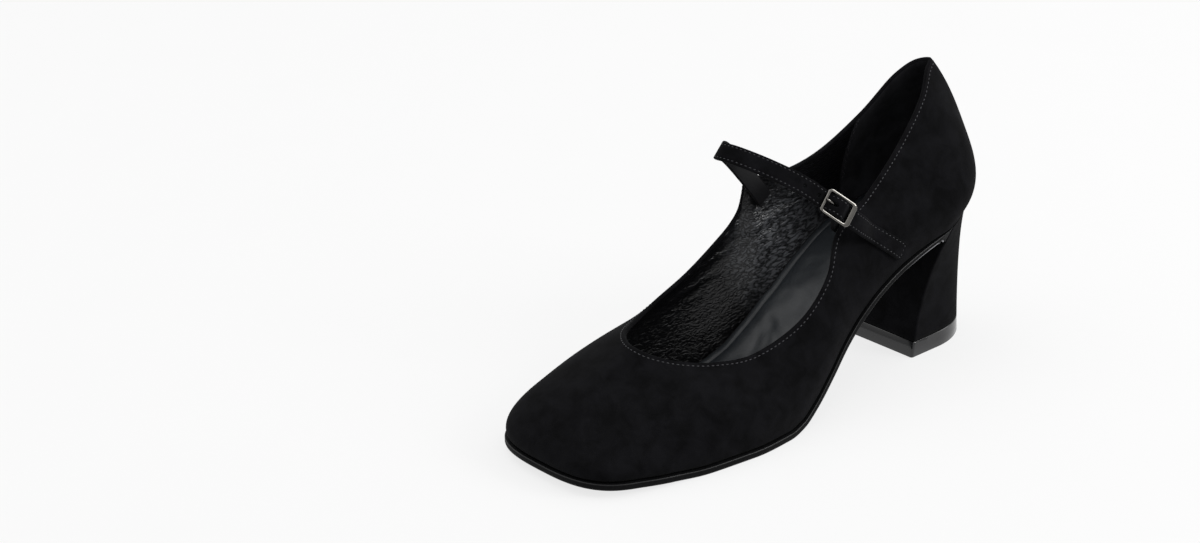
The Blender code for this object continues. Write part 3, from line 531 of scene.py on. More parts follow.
def liningMaterial():
    look = liningLook
    made, tree, shader, coordinates = startMaterial("lining_leather")
    inputs = {
        "Vector": coordinates,
        "Rotation": (math.radians(look["slope"]), 0.0, 0.0),
        "Scale": (1.0, look["stretch"], 1.0),
    }
    drawn = addNode(tree, "Mapping", inputs, vector_type="TEXTURE").outputs["Vector"]
    broad = noise(tree, drawn, look["wrinkle"] * look["broad"], detail=2.0, distortion=0.5)
    fine = noise(tree, drawn, look["wrinkle"], detail=1.5, distortion=0.3)
    # folds: distance of the noise from its middle, so that narrow valleys part rounded ridges
    away = compute(tree, "ABSOLUTE", compute(tree, "SUBTRACT", fine, 0.5))
    folds = ramp(tree, away, 0.0, look["valley"])
    grain = noise(tree, coordinates, look["grain"], rough=0.6)
    # painted highlight: base colour lighter on the wrinkle ridges of the inner side under the strap, as
    # glints would be; share falls with the distance from its centre
    inputs = {0: coordinates, 1: look["centre"]}
    distance = addNode(tree, "VectorMath", inputs, operation="DISTANCE").outputs["Value"]
    paintedHighlight = compute(tree, "MULTIPLY", ramp(tree, distance, look["reach"], look["core"]), folds)
    # painted shade: base colour darker in the wrinkle valleys, lighter on the ridges
    plain = mixColours(tree, folds, look["dark"], look["light"])
    low = bump(tree, broad, look["broadDepth"], strength=0.8)
    low = bump(tree, folds, look["wrinkleDepth"], below=low)
    inputs = {
        "Base Color": mixColours(tree, paintedHighlight, plain, look["paintedHighlight"]),
        "Roughness": look["roughness"],
        "Specular IOR Level": look["shine"],
        "Normal": bump(tree, grain, look["grainDepth"], strength=0.4, below=low),
    }
    fill(tree, shader, inputs)
    return made


# Plain surfaces: waves are soft padded folds of this size
plainLook = {"waveSize": 14.0, "coatRoughness": 0.1}


def plainMaterial(name, dark, light, size, roughness, depth, metallic=0.0, coat=0.0, shine=0.5, waves=0.0):
    made, tree, shader, coordinates = startMaterial(name)
    pattern = noise(tree, coordinates, size)
    folds = noise(tree, coordinates, plainLook["waveSize"], detail=1.0, rough=0.4, distortion=0.3)
    inputs = {
        "Base Color": mixColours(tree, ramp(tree, pattern, 0.3, 0.7), dark, light),
        "Roughness": roughness,
        "Metallic": metallic,
        "Specular IOR Level": shine,
        "Coat Weight": coat,
        "Coat Roughness": plainLook["coatRoughness"],
        "Normal": bump(tree, pattern, depth, strength=0.6, below=bump(tree, folds, waves)),
    }
    fill(tree, shader, inputs)
    return made


# Cut corner of the sole: painted highlight, a light base colour where it curls down on the heel, dark again
# towards the ball; the change lies between two distances along the shoe, in metres
edgeLook = {
    "dark": "#0e0e0f",
    "light": "#868689",
    "from": 0.056,
    "to": 0.074,
    "roughness": 0.5,
    "shine": 0.1,
}


def cutEdgeMaterial():
    made, tree, shader, coordinates = startMaterial("cut_edge_painted_highlight")
    backwards = addNode(tree, "SeparateXYZ", {"Vector": coordinates}).outputs["Y"]
    share = ramp(tree, backwards, edgeLook["from"], edgeLook["to"])
    inputs = {
        # painted highlight: light towards the back of the curl, dark towards the ball
        "Base Color": mixColours(tree, share, edgeLook["dark"], edgeLook["light"]),
        "Roughness": edgeLook["roughness"],
        "Specular IOR Level": edgeLook["shine"],
    }
    fill(tree, shader, inputs)
    return made


suede = suedeMaterial("black_suede", suedeLook["dark"], suedeLook["light"])
lining = liningMaterial()
# Heel grip: brushed leather inside the counter
grip = suedeMaterial("grip_leather", "#19191b", "#28282b")
# Sock: smooth padded leather, blue grey
sock = plainMaterial("sock_leather", "#15181b", "#1d2125", 0.7, 0.42, 0.03, shine=0.38, waves=2.2)
# Sole: black leather, waxed matt, with waxed upper corners and cut lower ones
soleLeather = plainMaterial("sole_leather", "#0a0a0b", "#101011", 1.2, 0.55, 0.03, shine=0.04)
waxedEdge = plainMaterial("waxed_sole_edge", "#111112", "#171718", 1.2, 0.42, 0.01, shine=0.25)
cutEdge = cutEdgeMaterial()
# Lift: hard glossy rubber
liftRubber = plainMaterial("lift_rubber", "#101012", "#161618", 1.5, 0.18, 0.01, coat=0.2, shine=0.42)
# Buckle: polished dark nickel
nickel = plainMaterial("polished_nickel", "#676561", "#73716d", 0.8, 0.1, 0.004, metallic=1.0)
# Thread, strap's leather underside, and its inked edges; on the sock's rim the same dark material is
# painted shadow
thread = plainMaterial("waxed_thread", "#1e1e20", "#323236", 0.4, 0.5, 0.02, shine=0.35)
strapLining = plainMaterial("strap_lining_leather", "#0c0c0d", "#151517", 0.6, 0.45, 0.03, shine=0.25)
strapEdge = plainMaterial("inked_strap_edge_and_sock_shadow", "#0f0f10", "#161617", 0.8, 0.6, 0.03, shine=0.2)


# Meshes
def buildMesh(name, points, faceSets, materials, faceMaterials=(), sharp=50):
    # points are of the last; faces turned outwards by the sign of the enclosed volume; faces beyond
    # faceMaterials take the first material
    world = toWorld(np.asarray(points).reshape(-1, 3))
    volume = 0.0
    for faces in faceSets:
        corners = world[faces]
        for k in range(1, faces.shape[1] - 1):
            volume += np.einsum("ij,ij->", corners[:, 0], np.cross(corners[:, k], corners[:, k + 1]))
    order = -1 if volume < 0 else 1
    listed = [face for faces in faceSets for face in faces[:, ::order].tolist()]
    mesh = bpy.data.meshes.new(name)
    mesh.from_pydata(world.tolist(), [], listed)
    for one in materials:
        mesh.materials.append(one)
    which = np.zeros(len(listed), np.int32)
    which[: len(faceMaterials)] = faceMaterials
    mesh.polygons.foreach_set("material_index", which)
    mesh.validate()
    mesh.shade_smooth()
    mesh.set_sharp_from_angle(angle=math.radians(sharp))
    made = bpy.data.objects.new(name, mesh)
    bpy.context.scene.collection.objects.link(made)
    return made


def gridFaces(rows, columns, closed):
    # quads between rings stored one after the other; closed joins the last ring to the first
    r, c = np.meshgrid(np.arange(rows if closed else rows - 1), np.arange(columns), indexing="ij")
    nextR, nextC = (r + 1) % rows, (c + 1) % columns
    corners = [r * columns + c, r * columns + nextC, nextR * columns + nextC, nextR * columns + c]
    return np.stack(corners, -1).reshape(-1, 4)


def sweptMesh(name, rings, materials, closed=False, faceMaterials=(), sharp=50):
    # rings of points along a path; open ends get a fan to a middle point
    rings = np.asarray(rings, float)
    count, size = rings.shape[:2]
    points = rings.reshape(-1, 3)
    faceSets = [gridFaces(count, size, closed)]
    if not closed:
        here = np.arange(size)
        following = (here + 1) % size
        end = (count - 1) * size
        middle = np.full(size, count * size)
        first = np.stack([following, here, middle], 1)
        final = np.stack([end + here, end + following, middle + 1], 1)
        faceSets.append(np.concatenate([first, final]))
        points = np.concatenate([points, [rings[0].mean(0), rings[-1].mean(0)]])
    return buildMesh(name, points, faceSets, materials, faceMaterials, sharp)


def placedRings(path, side, out, across, levels):
    # a section at every point of a path: across along side, levels along out
    return path[:, None] + side[:, None] * across[..., None] + out[:, None] * levels[..., None]


def cornerPoints(half, thick, corner, count):
    # quarter round at the corner of a flat section, as (across, level)
    turns = np.radians(np.linspace(0, 90, count))
    return [(half - corner + corner * math.cos(t), thick - corner + corner * math.sin(t)) for t in turns]


def ellipseBar(name, centres, ways, radii, sides, material):
    # straight bar with the given centres of its rings
    turn = 2 * np.pi * np.arange(sides) / sides
    circle = ways[0] * (radii[0] * np.cos(turn))[:, None] + ways[1] * (radii[1] * np.sin(turn))[:, None]
    return sweptMesh(name, np.array([centre + circle for centre in centres]), [material])


def combine(made, joined=(), cut=()):
    # exact booleans, applied at once; their tools are removed
    for operation, tools in (("UNION", joined), ("DIFFERENCE", cut)):
        for tool in tools:
            modifier = made.modifiers.new(tool.name, "BOOLEAN")
            modifier.operation = operation
            modifier.solver = "EXACT"
            modifier.object = tool
    graph = bpy.context.evaluated_depsgraph_get()
    result = bpy.data.meshes.new_from_object(made.evaluated_get(graph))
    made.modifiers.clear()
    made.data = result
    for tool in (*joined, *cut):
        bpy.data.objects.remove(tool, do_unlink=True)


def finishPiece(made, slot, *nodes):
    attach(made, "root")
    if nodes:
        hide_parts(*nodes)


# Stitches: pitch, length, width and height of each run of thread; the collar's distance from its edge;
# where the strap's run starts and ends, measured from the strap's ends. A bead has a ring at each
# latitude, in degrees, and its poles are merged
stitchLook = {
    "grip": (0.0015, 0.0009, 0.0004, 0.0003),
    "collar": (0.0021, 0.0012, 0.0005, 0.0004),
    "strap": (0.0020, 0.0010, 0.00042, 0.00036),
    "collarDrop": 0.0021,
    "strapStart": 0.012,
    "strapEnd": 0.0012,
    "strapSteps": 600,
    "turnSteps": 20,
    "ahead": 0.0002,
    "latitudes": (-90, -55, -20, 20, 55, 90),
    "sides": 8,
    "merge": 1e-7,
}


def stitches(name, path, normals, run):
    # one bead per stitch: ellipsoid rings along its own direction, half sunk
    pitch, length, width, height = stitchLook[run]
    walk = walkAlong(path)
    at = np.arange(pitch / 2, walk[-1] - pitch / 2, pitch)
    centre = sampled(at, walk, path)
    out = unit(sampled(at, walk, normals))
    way = unit(sampled(at + stitchLook["ahead"], walk, path) - centre)
    side = unit(np.cross(way, out))
    lat = np.radians(stitchLook["latitudes"])[:, None]
    lon = 2 * np.pi * np.arange(stitchLook["sides"])[None] / stitchLook["sides"]
    x = np.sin(lat) * length / 2 + 0 * lon
    y = np.cos(lat) * np.cos(lon) * width / 2
    z = np.cos(lat) * np.sin(lon) * height / 2
    bead = np.stack([x, y, z], -1).reshape(-1, 3)
    points = (
        centre[:, None]
        + way[:, None] * bead[None, :, :1]
        + side[:, None] * bead[None, :, 1:2]
        + out[:, None] * bead[None, :, 2:]
    )
    base = gridFaces(len(lat), stitchLook["sides"], False)
    faces = (base[None] + (np.arange(len(centre)) * len(bead))[:, None, None]).reshape(-1, 4)
    made = buildMesh(name, points, [faces], [thread], sharp=80)
    work = bmesh.new()
    work.from_mesh(made.data)
    bmesh.ops.remove_doubles(work, verts=work.verts, dist=stitchLook["merge"])
    work.to_mesh(made.data)
    work.free()
    finishPiece(made, "black_suede")


# Upper
upperLook = {
    "columnStep": 0.0013,
    "rows": 56,
    "collarRows": 10,
    "collarBand": 0.06,
    "coarseStep": 0.003,
    "coarseRows": 20,
    "lip": 0.0006,
    "lipSteps": 6,
    "gripReach": 0.047,
    "creaseFrom": 0.006,
    "creaseOver": 0.008,
    "innerOver": 0.012,
}
turnedAngles = (0, 15, 30, 45, 60, 75)
# rings of the turned edge below the wall proper
lowRings = 2 + len(turnedAngles)


def wallColumns(step):
    # the table's rows joined round the foot: collar points, place round the foot, leans and reaches
    loop, outward, count = footprintLoop(sole["edge"])
    full = np.r_[loop, loop[:1]]
    length = walkAlong(full)
    collar = last["heelHeight"] + last["counterHeight"]
    rows = []
    for outer, table in ((True, outerSections), (False, innerSections[::-1])):
        part = slice(0, count + 1) if outer else slice(None, count - 1, -1)
        for foot, along, out, up, lowLean, topLean, lowReach, topReach in table:
            place = np.interp(foot * last["shoeLength"], full[part, 1], length[part])
            top = (out * last["ballWidth"], along * last["shoeLength"], up * collar)
            rows.append((*top, place, math.radians(lowLean), math.radians(topLean), lowReach, topReach))
    rows = np.array(rows)
    nexts = np.roll(rows, -1, 0)
    feet = nexts[:, 3] - rows[:, 3]
    feet[-1] += length[-1]
    tops = np.linalg.norm(nexts[:, :3] - rows[:, :3], axis=1)
    counts = np.ceil(np.maximum(feet, tops) / step).astype(int)
    knots = np.r_[0, np.cumsum(np.sqrt(tops + feet * 0.5))]
    places = [a + (b - a) * np.arange(n) / n for a, b, n in zip(knots[:-1], knots[1:], counts)]
    place = readTable(np.concatenate(places), knots, np.r_[rows[:, 3], length[-1]])
    columns = curveThrough(rows, knots, counts, True)
    away = unit(sampled(place, length, np.r_[outward, outward[:1]]))
    return columns, sampled(place, length, full), away


def wallGrid(step, shares):
    # Bezier from the feather edge to the collar: leans at both ends, reaches as handle lengths
    columns, foot, away = wallColumns(step)
    top = columns[:, :3]
    lowLean, topLean, lowReach, topReach = (columns[:, k, None] for k in (4, 5, 6, 7))
    radius = wall["featherRadius"]

    def turned(inward, lift):
        spot = foot - away * inward
        return np.column_stack([spot, featherHeight(spot[:, 1]) + lift])

    grid = [turned(wall["margin"], 0.0), turned((wall["margin"] + radius) / 2, 0.0)]
    for angle in turnedAngles:
        turn = math.radians(angle)
        grid.append(turned(radius * (1 - math.sin(turn)), radius * (1 - math.cos(turn))))
    start = turned(0.0, radius)
    height = np.linalg.norm(top - start, axis=1)[:, None]
    inwards = unit(away * wall["leanBlend"] + start[:, :2] - top[:, :2])
    rise = np.column_stack([away * np.sin(lowLean), np.cos(lowLean)])
    arrive = np.column_stack([-inwards * np.sin(topLean), np.cos(topLean)])
    first = start + rise * height * lowReach
    second = top - arrive * height * topReach
    for t in shares:
        lower, upper = start * (1 - t) ** 3, top * t**3
        grid.append(lower + first * 3 * t * (1 - t) ** 2 + second * 3 * t * t * (1 - t) + upper)
    return np.stack(grid, 1)


def gridNormals(grid):
    around = np.roll(grid, -1, 0) - np.roll(grid, 1, 0)
    return unit(np.cross(around, np.gradient(grid, axis=1)))


collarShares = 1 - np.linspace(1, 0, upperLook["collarRows"] + 1) * upperLook["collarBand"]
bodyShares = np.linspace(0, 1 - upperLook["collarBand"], upperLook["rows"])[:-1]
outerGrid = wallGrid(upperLook["columnStep"], np.r_[bodyShares, collarShares])
outerNormals = gridNormals(outerGrid)

# Lining's main creases: along, up, slope in degrees, width and depth in millimetres, half length
liningRidges = [
    (0.086, 0.070, 168, 1.5, 0.35, 0.013),
    (0.094, 0.064, 164, 1.7, -0.35, 0.015),
    (0.098, 0.071, 170, 1.3, 0.30, 0.011),
    (0.104, 0.058, 166, 1.6, 0.40, 0.016),
    (0.110, 0.064, 172, 1.4, -0.30, 0.012),
    (0.114, 0.050, 160, 1.7, 0.35, 0.016),
    (0.122, 0.043, 166, 1.5, -0.35, 0.015),
    (0.126, 0.052, 170, 1.4, 0.30, 0.012),
    (0.134, 0.036, 158, 1.7, 0.35, 0.014),
    (0.146, 0.032, 164, 1.6, -0.25, 0.013),
]


def liningCreases(grid):
    # sum of soft ridges across the inner wall, each a Gaussian across its line, faded in above the sock
    out, along, up = (grid[..., k] for k in range(3))
    relief = np.zeros(along.shape)
    for centreAlong, centreUp, slope, width, depth, reach in liningRidges:
        angle = math.radians(slope)
        da, du = along - centreAlong, up - centreUp
        across = (da * math.sin(angle) - du * math.cos(angle)) / (width * mm)
        lengthwise = (da * math.cos(angle) + du * math.sin(angle)) / reach
        relief += np.exp(-(across**2)) * np.exp(-(lengthwise**2)) * depth * mm
    inner = smooth((swing(along) - out) / upperLook["innerOver"])
    fade = smooth((up - featherHeight(along) - upperLook["creaseFrom"]) / upperLook["creaseOver"])
    return relief * inner * fade


def makeUpper():
    thick = wall["thickness"]
    inside = outerGrid - outerNormals * (thick - liningCreases(outerGrid)[..., None])
    rise = unit(outerGrid[:, -1] - outerGrid[:, -2])
    middle = outerGrid[:, -1] - outerNormals[:, -1] * thick / 2
    angles = np.pi * (np.arange(upperLook["lipSteps"]) + 0.5) / upperLook["lipSteps"]
    lipRings = [
        middle
        + outerNormals[:, -1] * thick / 2 * math.cos(a)
        + rise * upperLook["lip"] * (math.sin(a) - 1)
        for a in angles
    ]
    rings = np.concatenate([outerGrid[:, :-1], np.stack(lipRings, 1), inside[:, -2::-1]], 1)
    count, size = rings.shape[:2]
    faces = gridFaces(count, size, True)
    # suede outside and over the lip, grip at the back inside, lining on the rest
    suedeCells = outerGrid.shape[1] + upperLook["lipSteps"] - 2
    backwards = rings.reshape(-1, 3)[faces].mean(1)[:, 1] < upperLook["gripReach"]
    which = np.where(np.tile(np.arange(size), count) < suedeCells, 0, np.where(backwards, 2, 1))
    made = buildMesh("upper_suede", rings, [faces], [suede, lining, grip], which, 60)
    finishPiece(made, "black_suede", "upper")
    # zigzag seam where the heel grip meets the lining, down both inner walls: two grid rows each way
    flat = outerGrid - outerNormals * thick
    down = np.arange(outerGrid.shape[1] - 4, outerGrid.shape[1] // 3, -1)
    for side, name in ((1, "grip_seam_outer"), (-1, "grip_seam_inner")):
        away = np.abs(outerGrid[:, -1, 1] - upperLook["gripReach"])
        first = int(np.argmin(away + 1.0 * (side * outerGrid[:, -1, 0] < 0)))
        sway = (first + (np.arange(len(down)) // 2) % 2) % count
        stitches(name, flat[sway, down], -outerNormals[sway, down], "grip")


makeUpper()
print("upper made")

coarseGrid = wallGrid(upperLook["coarseStep"], np.linspace(0, 1, upperLook["coarseRows"]))
coarseNormals = gridNormals(coarseGrid)


def cellCorners(values):
    # the four corners of every cell of the wall proper, in order round the cell
    low, high = values[:, lowRings:-1], values[:, lowRings + 1 :]
    return [low, np.roll(low, -1, 0), np.roll(high, -1, 0), high]


def crossed(first, second):
    return first[..., 0] * second[..., 1] - first[..., 1] * second[..., 0]


def wallAt(side, along, up, away):
    # triangle of the coarse wall that holds (along, up), read by shares
    places, directions = cellCorners(coarseGrid), cellCorners(coarseNormals)
    target = np.array([along * last["shoeLength"], up * (last["heelHeight"] + last["counterHeight"])])
    keep = (coarseGrid[:, lowRings, 0] > swing(coarseGrid[:, 0, 1])) == (side == "outer")
    for picked in ((0, 1, 2), (0, 2, 3)):
        p, q, r = (places[k][..., 1:] for k in picked)
        area = crossed(q - p, r - p)
        area = np.where(np.abs(area) < 1e-12, np.nan, area)
        s = crossed(target - p, r - p) / area
        t = crossed(q - p, target - p) / area
        found = np.argwhere((s >= -1e-9) & (t >= -1e-9) & (s + t <= 1 + 1e-9) & keep[:, None])
        if len(found):
            i, j = found[0]
            parts = (1 - s[i, j] - t[i, j], s[i, j], t[i, j])
            place, direction = (
                sum(part * values[k][i, j] for part, k in zip(parts, picked))
                for values in (places, directions)
            )
            return place + unit(direction) * away, unit(direction)
    raise ValueError("no wall here")


# Strap
strapLook = {
    "step": 0.0005,
    "fineStep": 0.0002,
    "corner": 0.00045,
    "cornerPoints": 5,
    "seam": 0.0011,
    "seamDepth": 0.00012,
    "seamWidth": 0.0003,
    "crown": 0.00006,
    "humpRoom": 0.0002,
    "endLength": 0.0011,
    "endNarrow": 0.16,
    "endPower": 2.5,
    "holeSides": 24,
    "cutterReach": 0.003,
}


def strapLine():
    # Hermite through root, route and tail; straight and flat within the buckle
    beyond = gap + strapSize["thickness"] / 2
    root = [wallAt(*row[:3], -(wall["thickness"] + beyond + row[3])) for row in strapRoot]
    tail = [wallAt(*row[:3], beyond + row[3]) for row in strapTail]
    scale = (last["ballWidth"], last["shoeLength"], last["instepHeight"])
    free = [tuple(v * s for v, s in zip(row, scale)) for row in strapRoute]
    points = np.array([e[0] for e in root] + free + [e[0] for e in tail])
    steps = np.linalg.norm(np.diff(points, axis=0), axis=1)
    knots = np.r_[0, np.cumsum(np.sqrt(steps))]
    counts = np.ceil(steps / strapLook["fineStep"]).astype(int)
    line = curveThrough(points, knots, counts, False)
    tangent = unit(np.gradient(line, axis=0))
    places = np.r_[0, np.cumsum(counts)]
    outward = unit(np.cross(tangent[places], np.array(strapAcross)))
    outward[: len(root)] = [e[1] for e in root]
    outward[-len(tail) :] = [e[1] for e in tail]
    facing = curveThrough(outward, knots, counts, False)
    walked = walkAlong(line)
    buckle = places[len(root) + buckleRow]
    walked -= walked[buckle]
    flat = smooth((np.abs(walked) - buckleSize["length"] / 2) / strapSize["ease"])[:, None]
    straight = line[buckle] + tangent[buckle] * walked[:, None]
    line = straight * (1 - flat) + line * flat
    facing = facing[buckle] * (1 - flat) + facing * flat
    tangent = unit(np.gradient(line, axis=0))
    facing = unit(facing - tangent * (facing * tangent).sum(1, keepdims=True))
    return line, tangent, facing, np.cross(tangent, facing), walked, buckle


frameLevel = strapSize["thickness"] / 2 + gap + buckleSize["thickness"] / 2
barLevel = frameLevel - buckleSize["drop"]
loopRadius = buckleSize["centreBar"] / 2 + buckleSize["clearance"] + buckleSize["tabThickness"]
humpHeight = barLevel + loopRadius + 1.5 * gap + strapSize["thickness"] / 2
frameWidth = strapSize["width"] + 2 * (gap + buckleSize["bar"])


def hump(distance):
    # rise over the centre bar, falling by 3 s^2 - 2 s^3 to just before the end bars
    ends = np.where(np.asarray(distance) < 0, buckleSize["bar"], buckleSize["endBar"])
    reach = buckleSize["length"] / 2 - ends - strapLook["humpRoom"]
    return humpHeight * (1 - smooth((np.abs(distance) - loopRadius) / (reach - loopRadius)))


line, tangent, facing, across, walked, buckleSpot = strapLine()
axes = (line[buckleSpot], tangent[buckleSpot], facing[buckleSpot], across[buckleSpot])


def strapAt(distance):
    # middle of the strap, and its directions, at distances walked from the buckle
    distance = np.asarray(distance, float)
    place, way, out, side = (sampled(distance, walked, v) for v in (line, tangent, facing, across))
    return place + out * hump(distance)[..., None], way, out, side


def strapSection():
    # section as (across, level), with a shallow seam channel on both sides of the upper face
    look = strapLook
    half, thick = strapSize["width"] / 2, strapSize["thickness"] / 2
    right = cornerPoints(half, thick, look["corner"], look["cornerPoints"])
    middle = half - look["seam"]
    upperHalf = right + [
        (middle + look["seamWidth"], thick),
        (middle, thick - look["seamDepth"]),
        (middle - look["seamWidth"], thick),
        (half * 0.4, thick + look["crown"] * 2 / 3),
        (0.0, thick + look["crown"]),
    ]
    upperFace = upperHalf + [(-a, b) for a, b in upperHalf[-2::-1]]
    lowerFace = [(-a, -b) for a, b in right] + [(-half * 0.3, -thick), (half * 0.3, -thick)]
    lowerFace += [(a, -b) for a, b in right[::-1]]
    return np.array(upperFace + lowerFace)


def makeStrap():
    look, section = strapLook, strapSection()
    stations = np.linspace(walked[0], walked[-1], int((walked[-1] - walked[0]) / look["step"]))
    place, _, out, side = strapAt(stations)
    end = np.minimum(stations - stations[0], stations[-1] - stations)
    narrow = 1 - look["endNarrow"] * np.clip(1 - end / look["endLength"], 0, 1) ** look["endPower"]
    rings = placedRings(place, side, out, section[:, 0] * narrow[:, None], section[None, :, 1])
    # lined underneath: the three cells between the lower corners
    flat = np.tile(np.isin(np.arange(len(section)), np.arange(3) + len(section) - 8), len(rings) - 1)
    made = sweptMesh("strap_suede", rings, [suede, strapLining], faceMaterials=flat, sharp=60)
    punched = [(buckleSize["prongHole"], buckleSize["prongHoleLength"])]
    for k in range(strapSize["freeHoles"]):
        punched.append((buckleSize["prongHole"] - strapSize["pitch"] * (k + 1), strapSize["hole"]))
    cutters = []
    for distance, length in punched:
        spot, way, out, side = (value[0] for value in strapAt([distance]))
        centres = [spot + out * level for level in (-look["cutterReach"], look["cutterReach"])]
        radii = (length / 2, strapSize["hole"] / 2)
        cutters.append(ellipseBar("hole", centres, (way, side), radii, look["holeSides"], strapEdge))
    combine(made, cut=cutters)
    finishPiece(made, "black_suede", "strap")


makeStrap()
print("strap made")

# Buckle: the prong curls round the centre bar from one angle to the other, in degrees, by so many
# points. Its landing and tip are measured in from the frame's end as shares of the bar there, and its
# taper gives the radius of the last two rings at each end as shares of the full one
buckleLook = {
    "edge": 0.00042,
    "edgePoints": 5,
    "cornerSteps": 10,
    "barBend": 0.0008,
    "barSteps": 5,
    "curl": (-170, 90, 27),
    "climbSteps": 12,
    "landing": 1.6,
    "tip": 0.3,
    "taper": (0.55, 0.92),
    "barSides": 16,
    "prongSides": 14,
    "loopSides": 32,
    "tabCorner": 0.0004,
    "tabCornerPoints": 4,
    "tabSteps": 8,
    "slotReach": 0.0012,
}


def bucklePoint(alongIt, acrossIt, level):
    origin, way, out, side = axes
    return origin + way * alongIt + side * acrossIt + out * level


def tube(name, path, radii, sides):
    # round bar along a flat path, with its radius at every point
    path = np.array(path)
    flat = np.linalg.svd(path - path.mean(0))[2][2]
    sideways = unit(np.cross(unit(np.gradient(path, axis=0)), flat))
    turn = 2 * np.pi * np.arange(sides) / sides
    radii = np.broadcast_to(radii, len(path))[:, None]
    rings = placedRings(path, sideways, flat[None], radii * np.cos(turn), radii * np.sin(turn))
    return sweptMesh(name, rings, [nickel], sharp=60)


def roundedLoop(low, high, half, corner):
    steps = buckleLook["cornerSteps"]
    turns = np.radians(np.arange(steps + 1) * 90 / steps)
    parts = []
    for centreAlong, centreAcross, start in (
        (high - corner, half - corner, 0),
        (low + corner, half - corner, 90),
        (low + corner, corner - half, 180),
        (high - corner, corner - half, 270),
    ):
        angle = turns + math.radians(start)
        ring = np.stack([corner * np.cos(angle), corner * np.sin(angle)], 1)
        parts.append(ring + [centreAlong, centreAcross])
    return np.concatenate(parts)


def makeBuckle():
    size, edge = buckleSize, buckleLook["edge"]
    end, halfWide = size["length"] / 2, frameWidth / 2
    outer = roundedLoop(-end, end, halfWide, size["corner"])
    low, high = size["bar"] - end, end - size["endBar"]
    inner = roundedLoop(low, high, halfWide - size["bar"], size["corner"] - size["bar"])
    span = np.linalg.norm(outer - inner, axis=1, keepdims=True)
    inwards = (inner - outer) / np.maximum(span, 1e-9)
    # section: from the far side over the top to the near side and back under
    turns = np.radians(np.linspace(0, 90, buckleLook["edgePoints"]))
    half = size["thickness"] / 2
    quarter = np.stack([edge * (1 - np.sin(turns)), half - edge * (1 - np.cos(turns))], 1)[::-1]
    rings = []
    for farSide, top in ((True, False), (True, True), (False, True), (False, False)):
        for offset, level in (quarter if farSide == top else quarter[::-1]):
            flat = outer + inwards * offset if farSide else inner - inwards * offset
            rings.append(bucklePoint(flat[:, :1], flat[:, 1:], frameLevel + (level if top else -level)))
    made = sweptMesh("buckle_ring", np.stack(rings, 1), [nickel], closed=True)
    finishPiece(made, "nickel", "buckle_frame")
    leg, bend = halfWide - size["bar"] / 2, buckleLook["barBend"]
    route = [(-leg, frameLevel), (-leg, barLevel + bend), (-leg + bend * 0.3, barLevel + bend * 0.3)]
    route += [(-leg + bend, barLevel), (0.0, barLevel)]
    route += [(-a, b) for a, b in route[-2::-1]]
    points = np.array([bucklePoint(0.0, a, level) for a, level in route])
    knots = np.r_[0, np.cumsum(np.sqrt(np.linalg.norm(np.diff(points, axis=0), axis=1)))]
    path = curveThrough(points, knots, [buckleLook["barSteps"]] * (len(points) - 1), False)
    bar = tube("buckle_bar", path, size["centreBar"] / 2, buckleLook["barSides"])
    finishPiece(bar, "nickel")


def makeProng():
    size, look = buckleSize, buckleLook
    ring = size["centreBar"] / 2 + size["clearance"] + size["prong"] / 2
    rest = frameLevel + size["thickness"] / 2 + size["clearance"] + size["prong"] / 2
    landing = -(size["length"] / 2 - size["bar"] * look["landing"])
    tip = -(size["length"] / 2 - size["bar"] * look["tip"])
    turns = np.radians(np.linspace(*look["curl"]))
    route = [(ring * math.cos(t), barLevel + ring * math.sin(t)) for t in turns]
    shares = np.linspace(0, 1, look["climbSteps"])[1:]
    climbs = smooth(shares) * (rest - barLevel - ring)
    route += [(landing * share, barLevel + ring + climb) for share, climb in zip(shares, climbs)]
    route += [((landing + tip) / 2, rest), (tip, rest)]
    path = [bucklePoint(a, 0.0, level) for a, level in route]
    taper = np.ones(len(path))
    taper[:2] = look["taper"]
    taper[-2:] = look["taper"][::-1]
    made = tube("buckle_pin", path, size["prong"] / 2 * taper, look["prongSides"])
    finishPiece(made, "nickel", "buckle_prong")


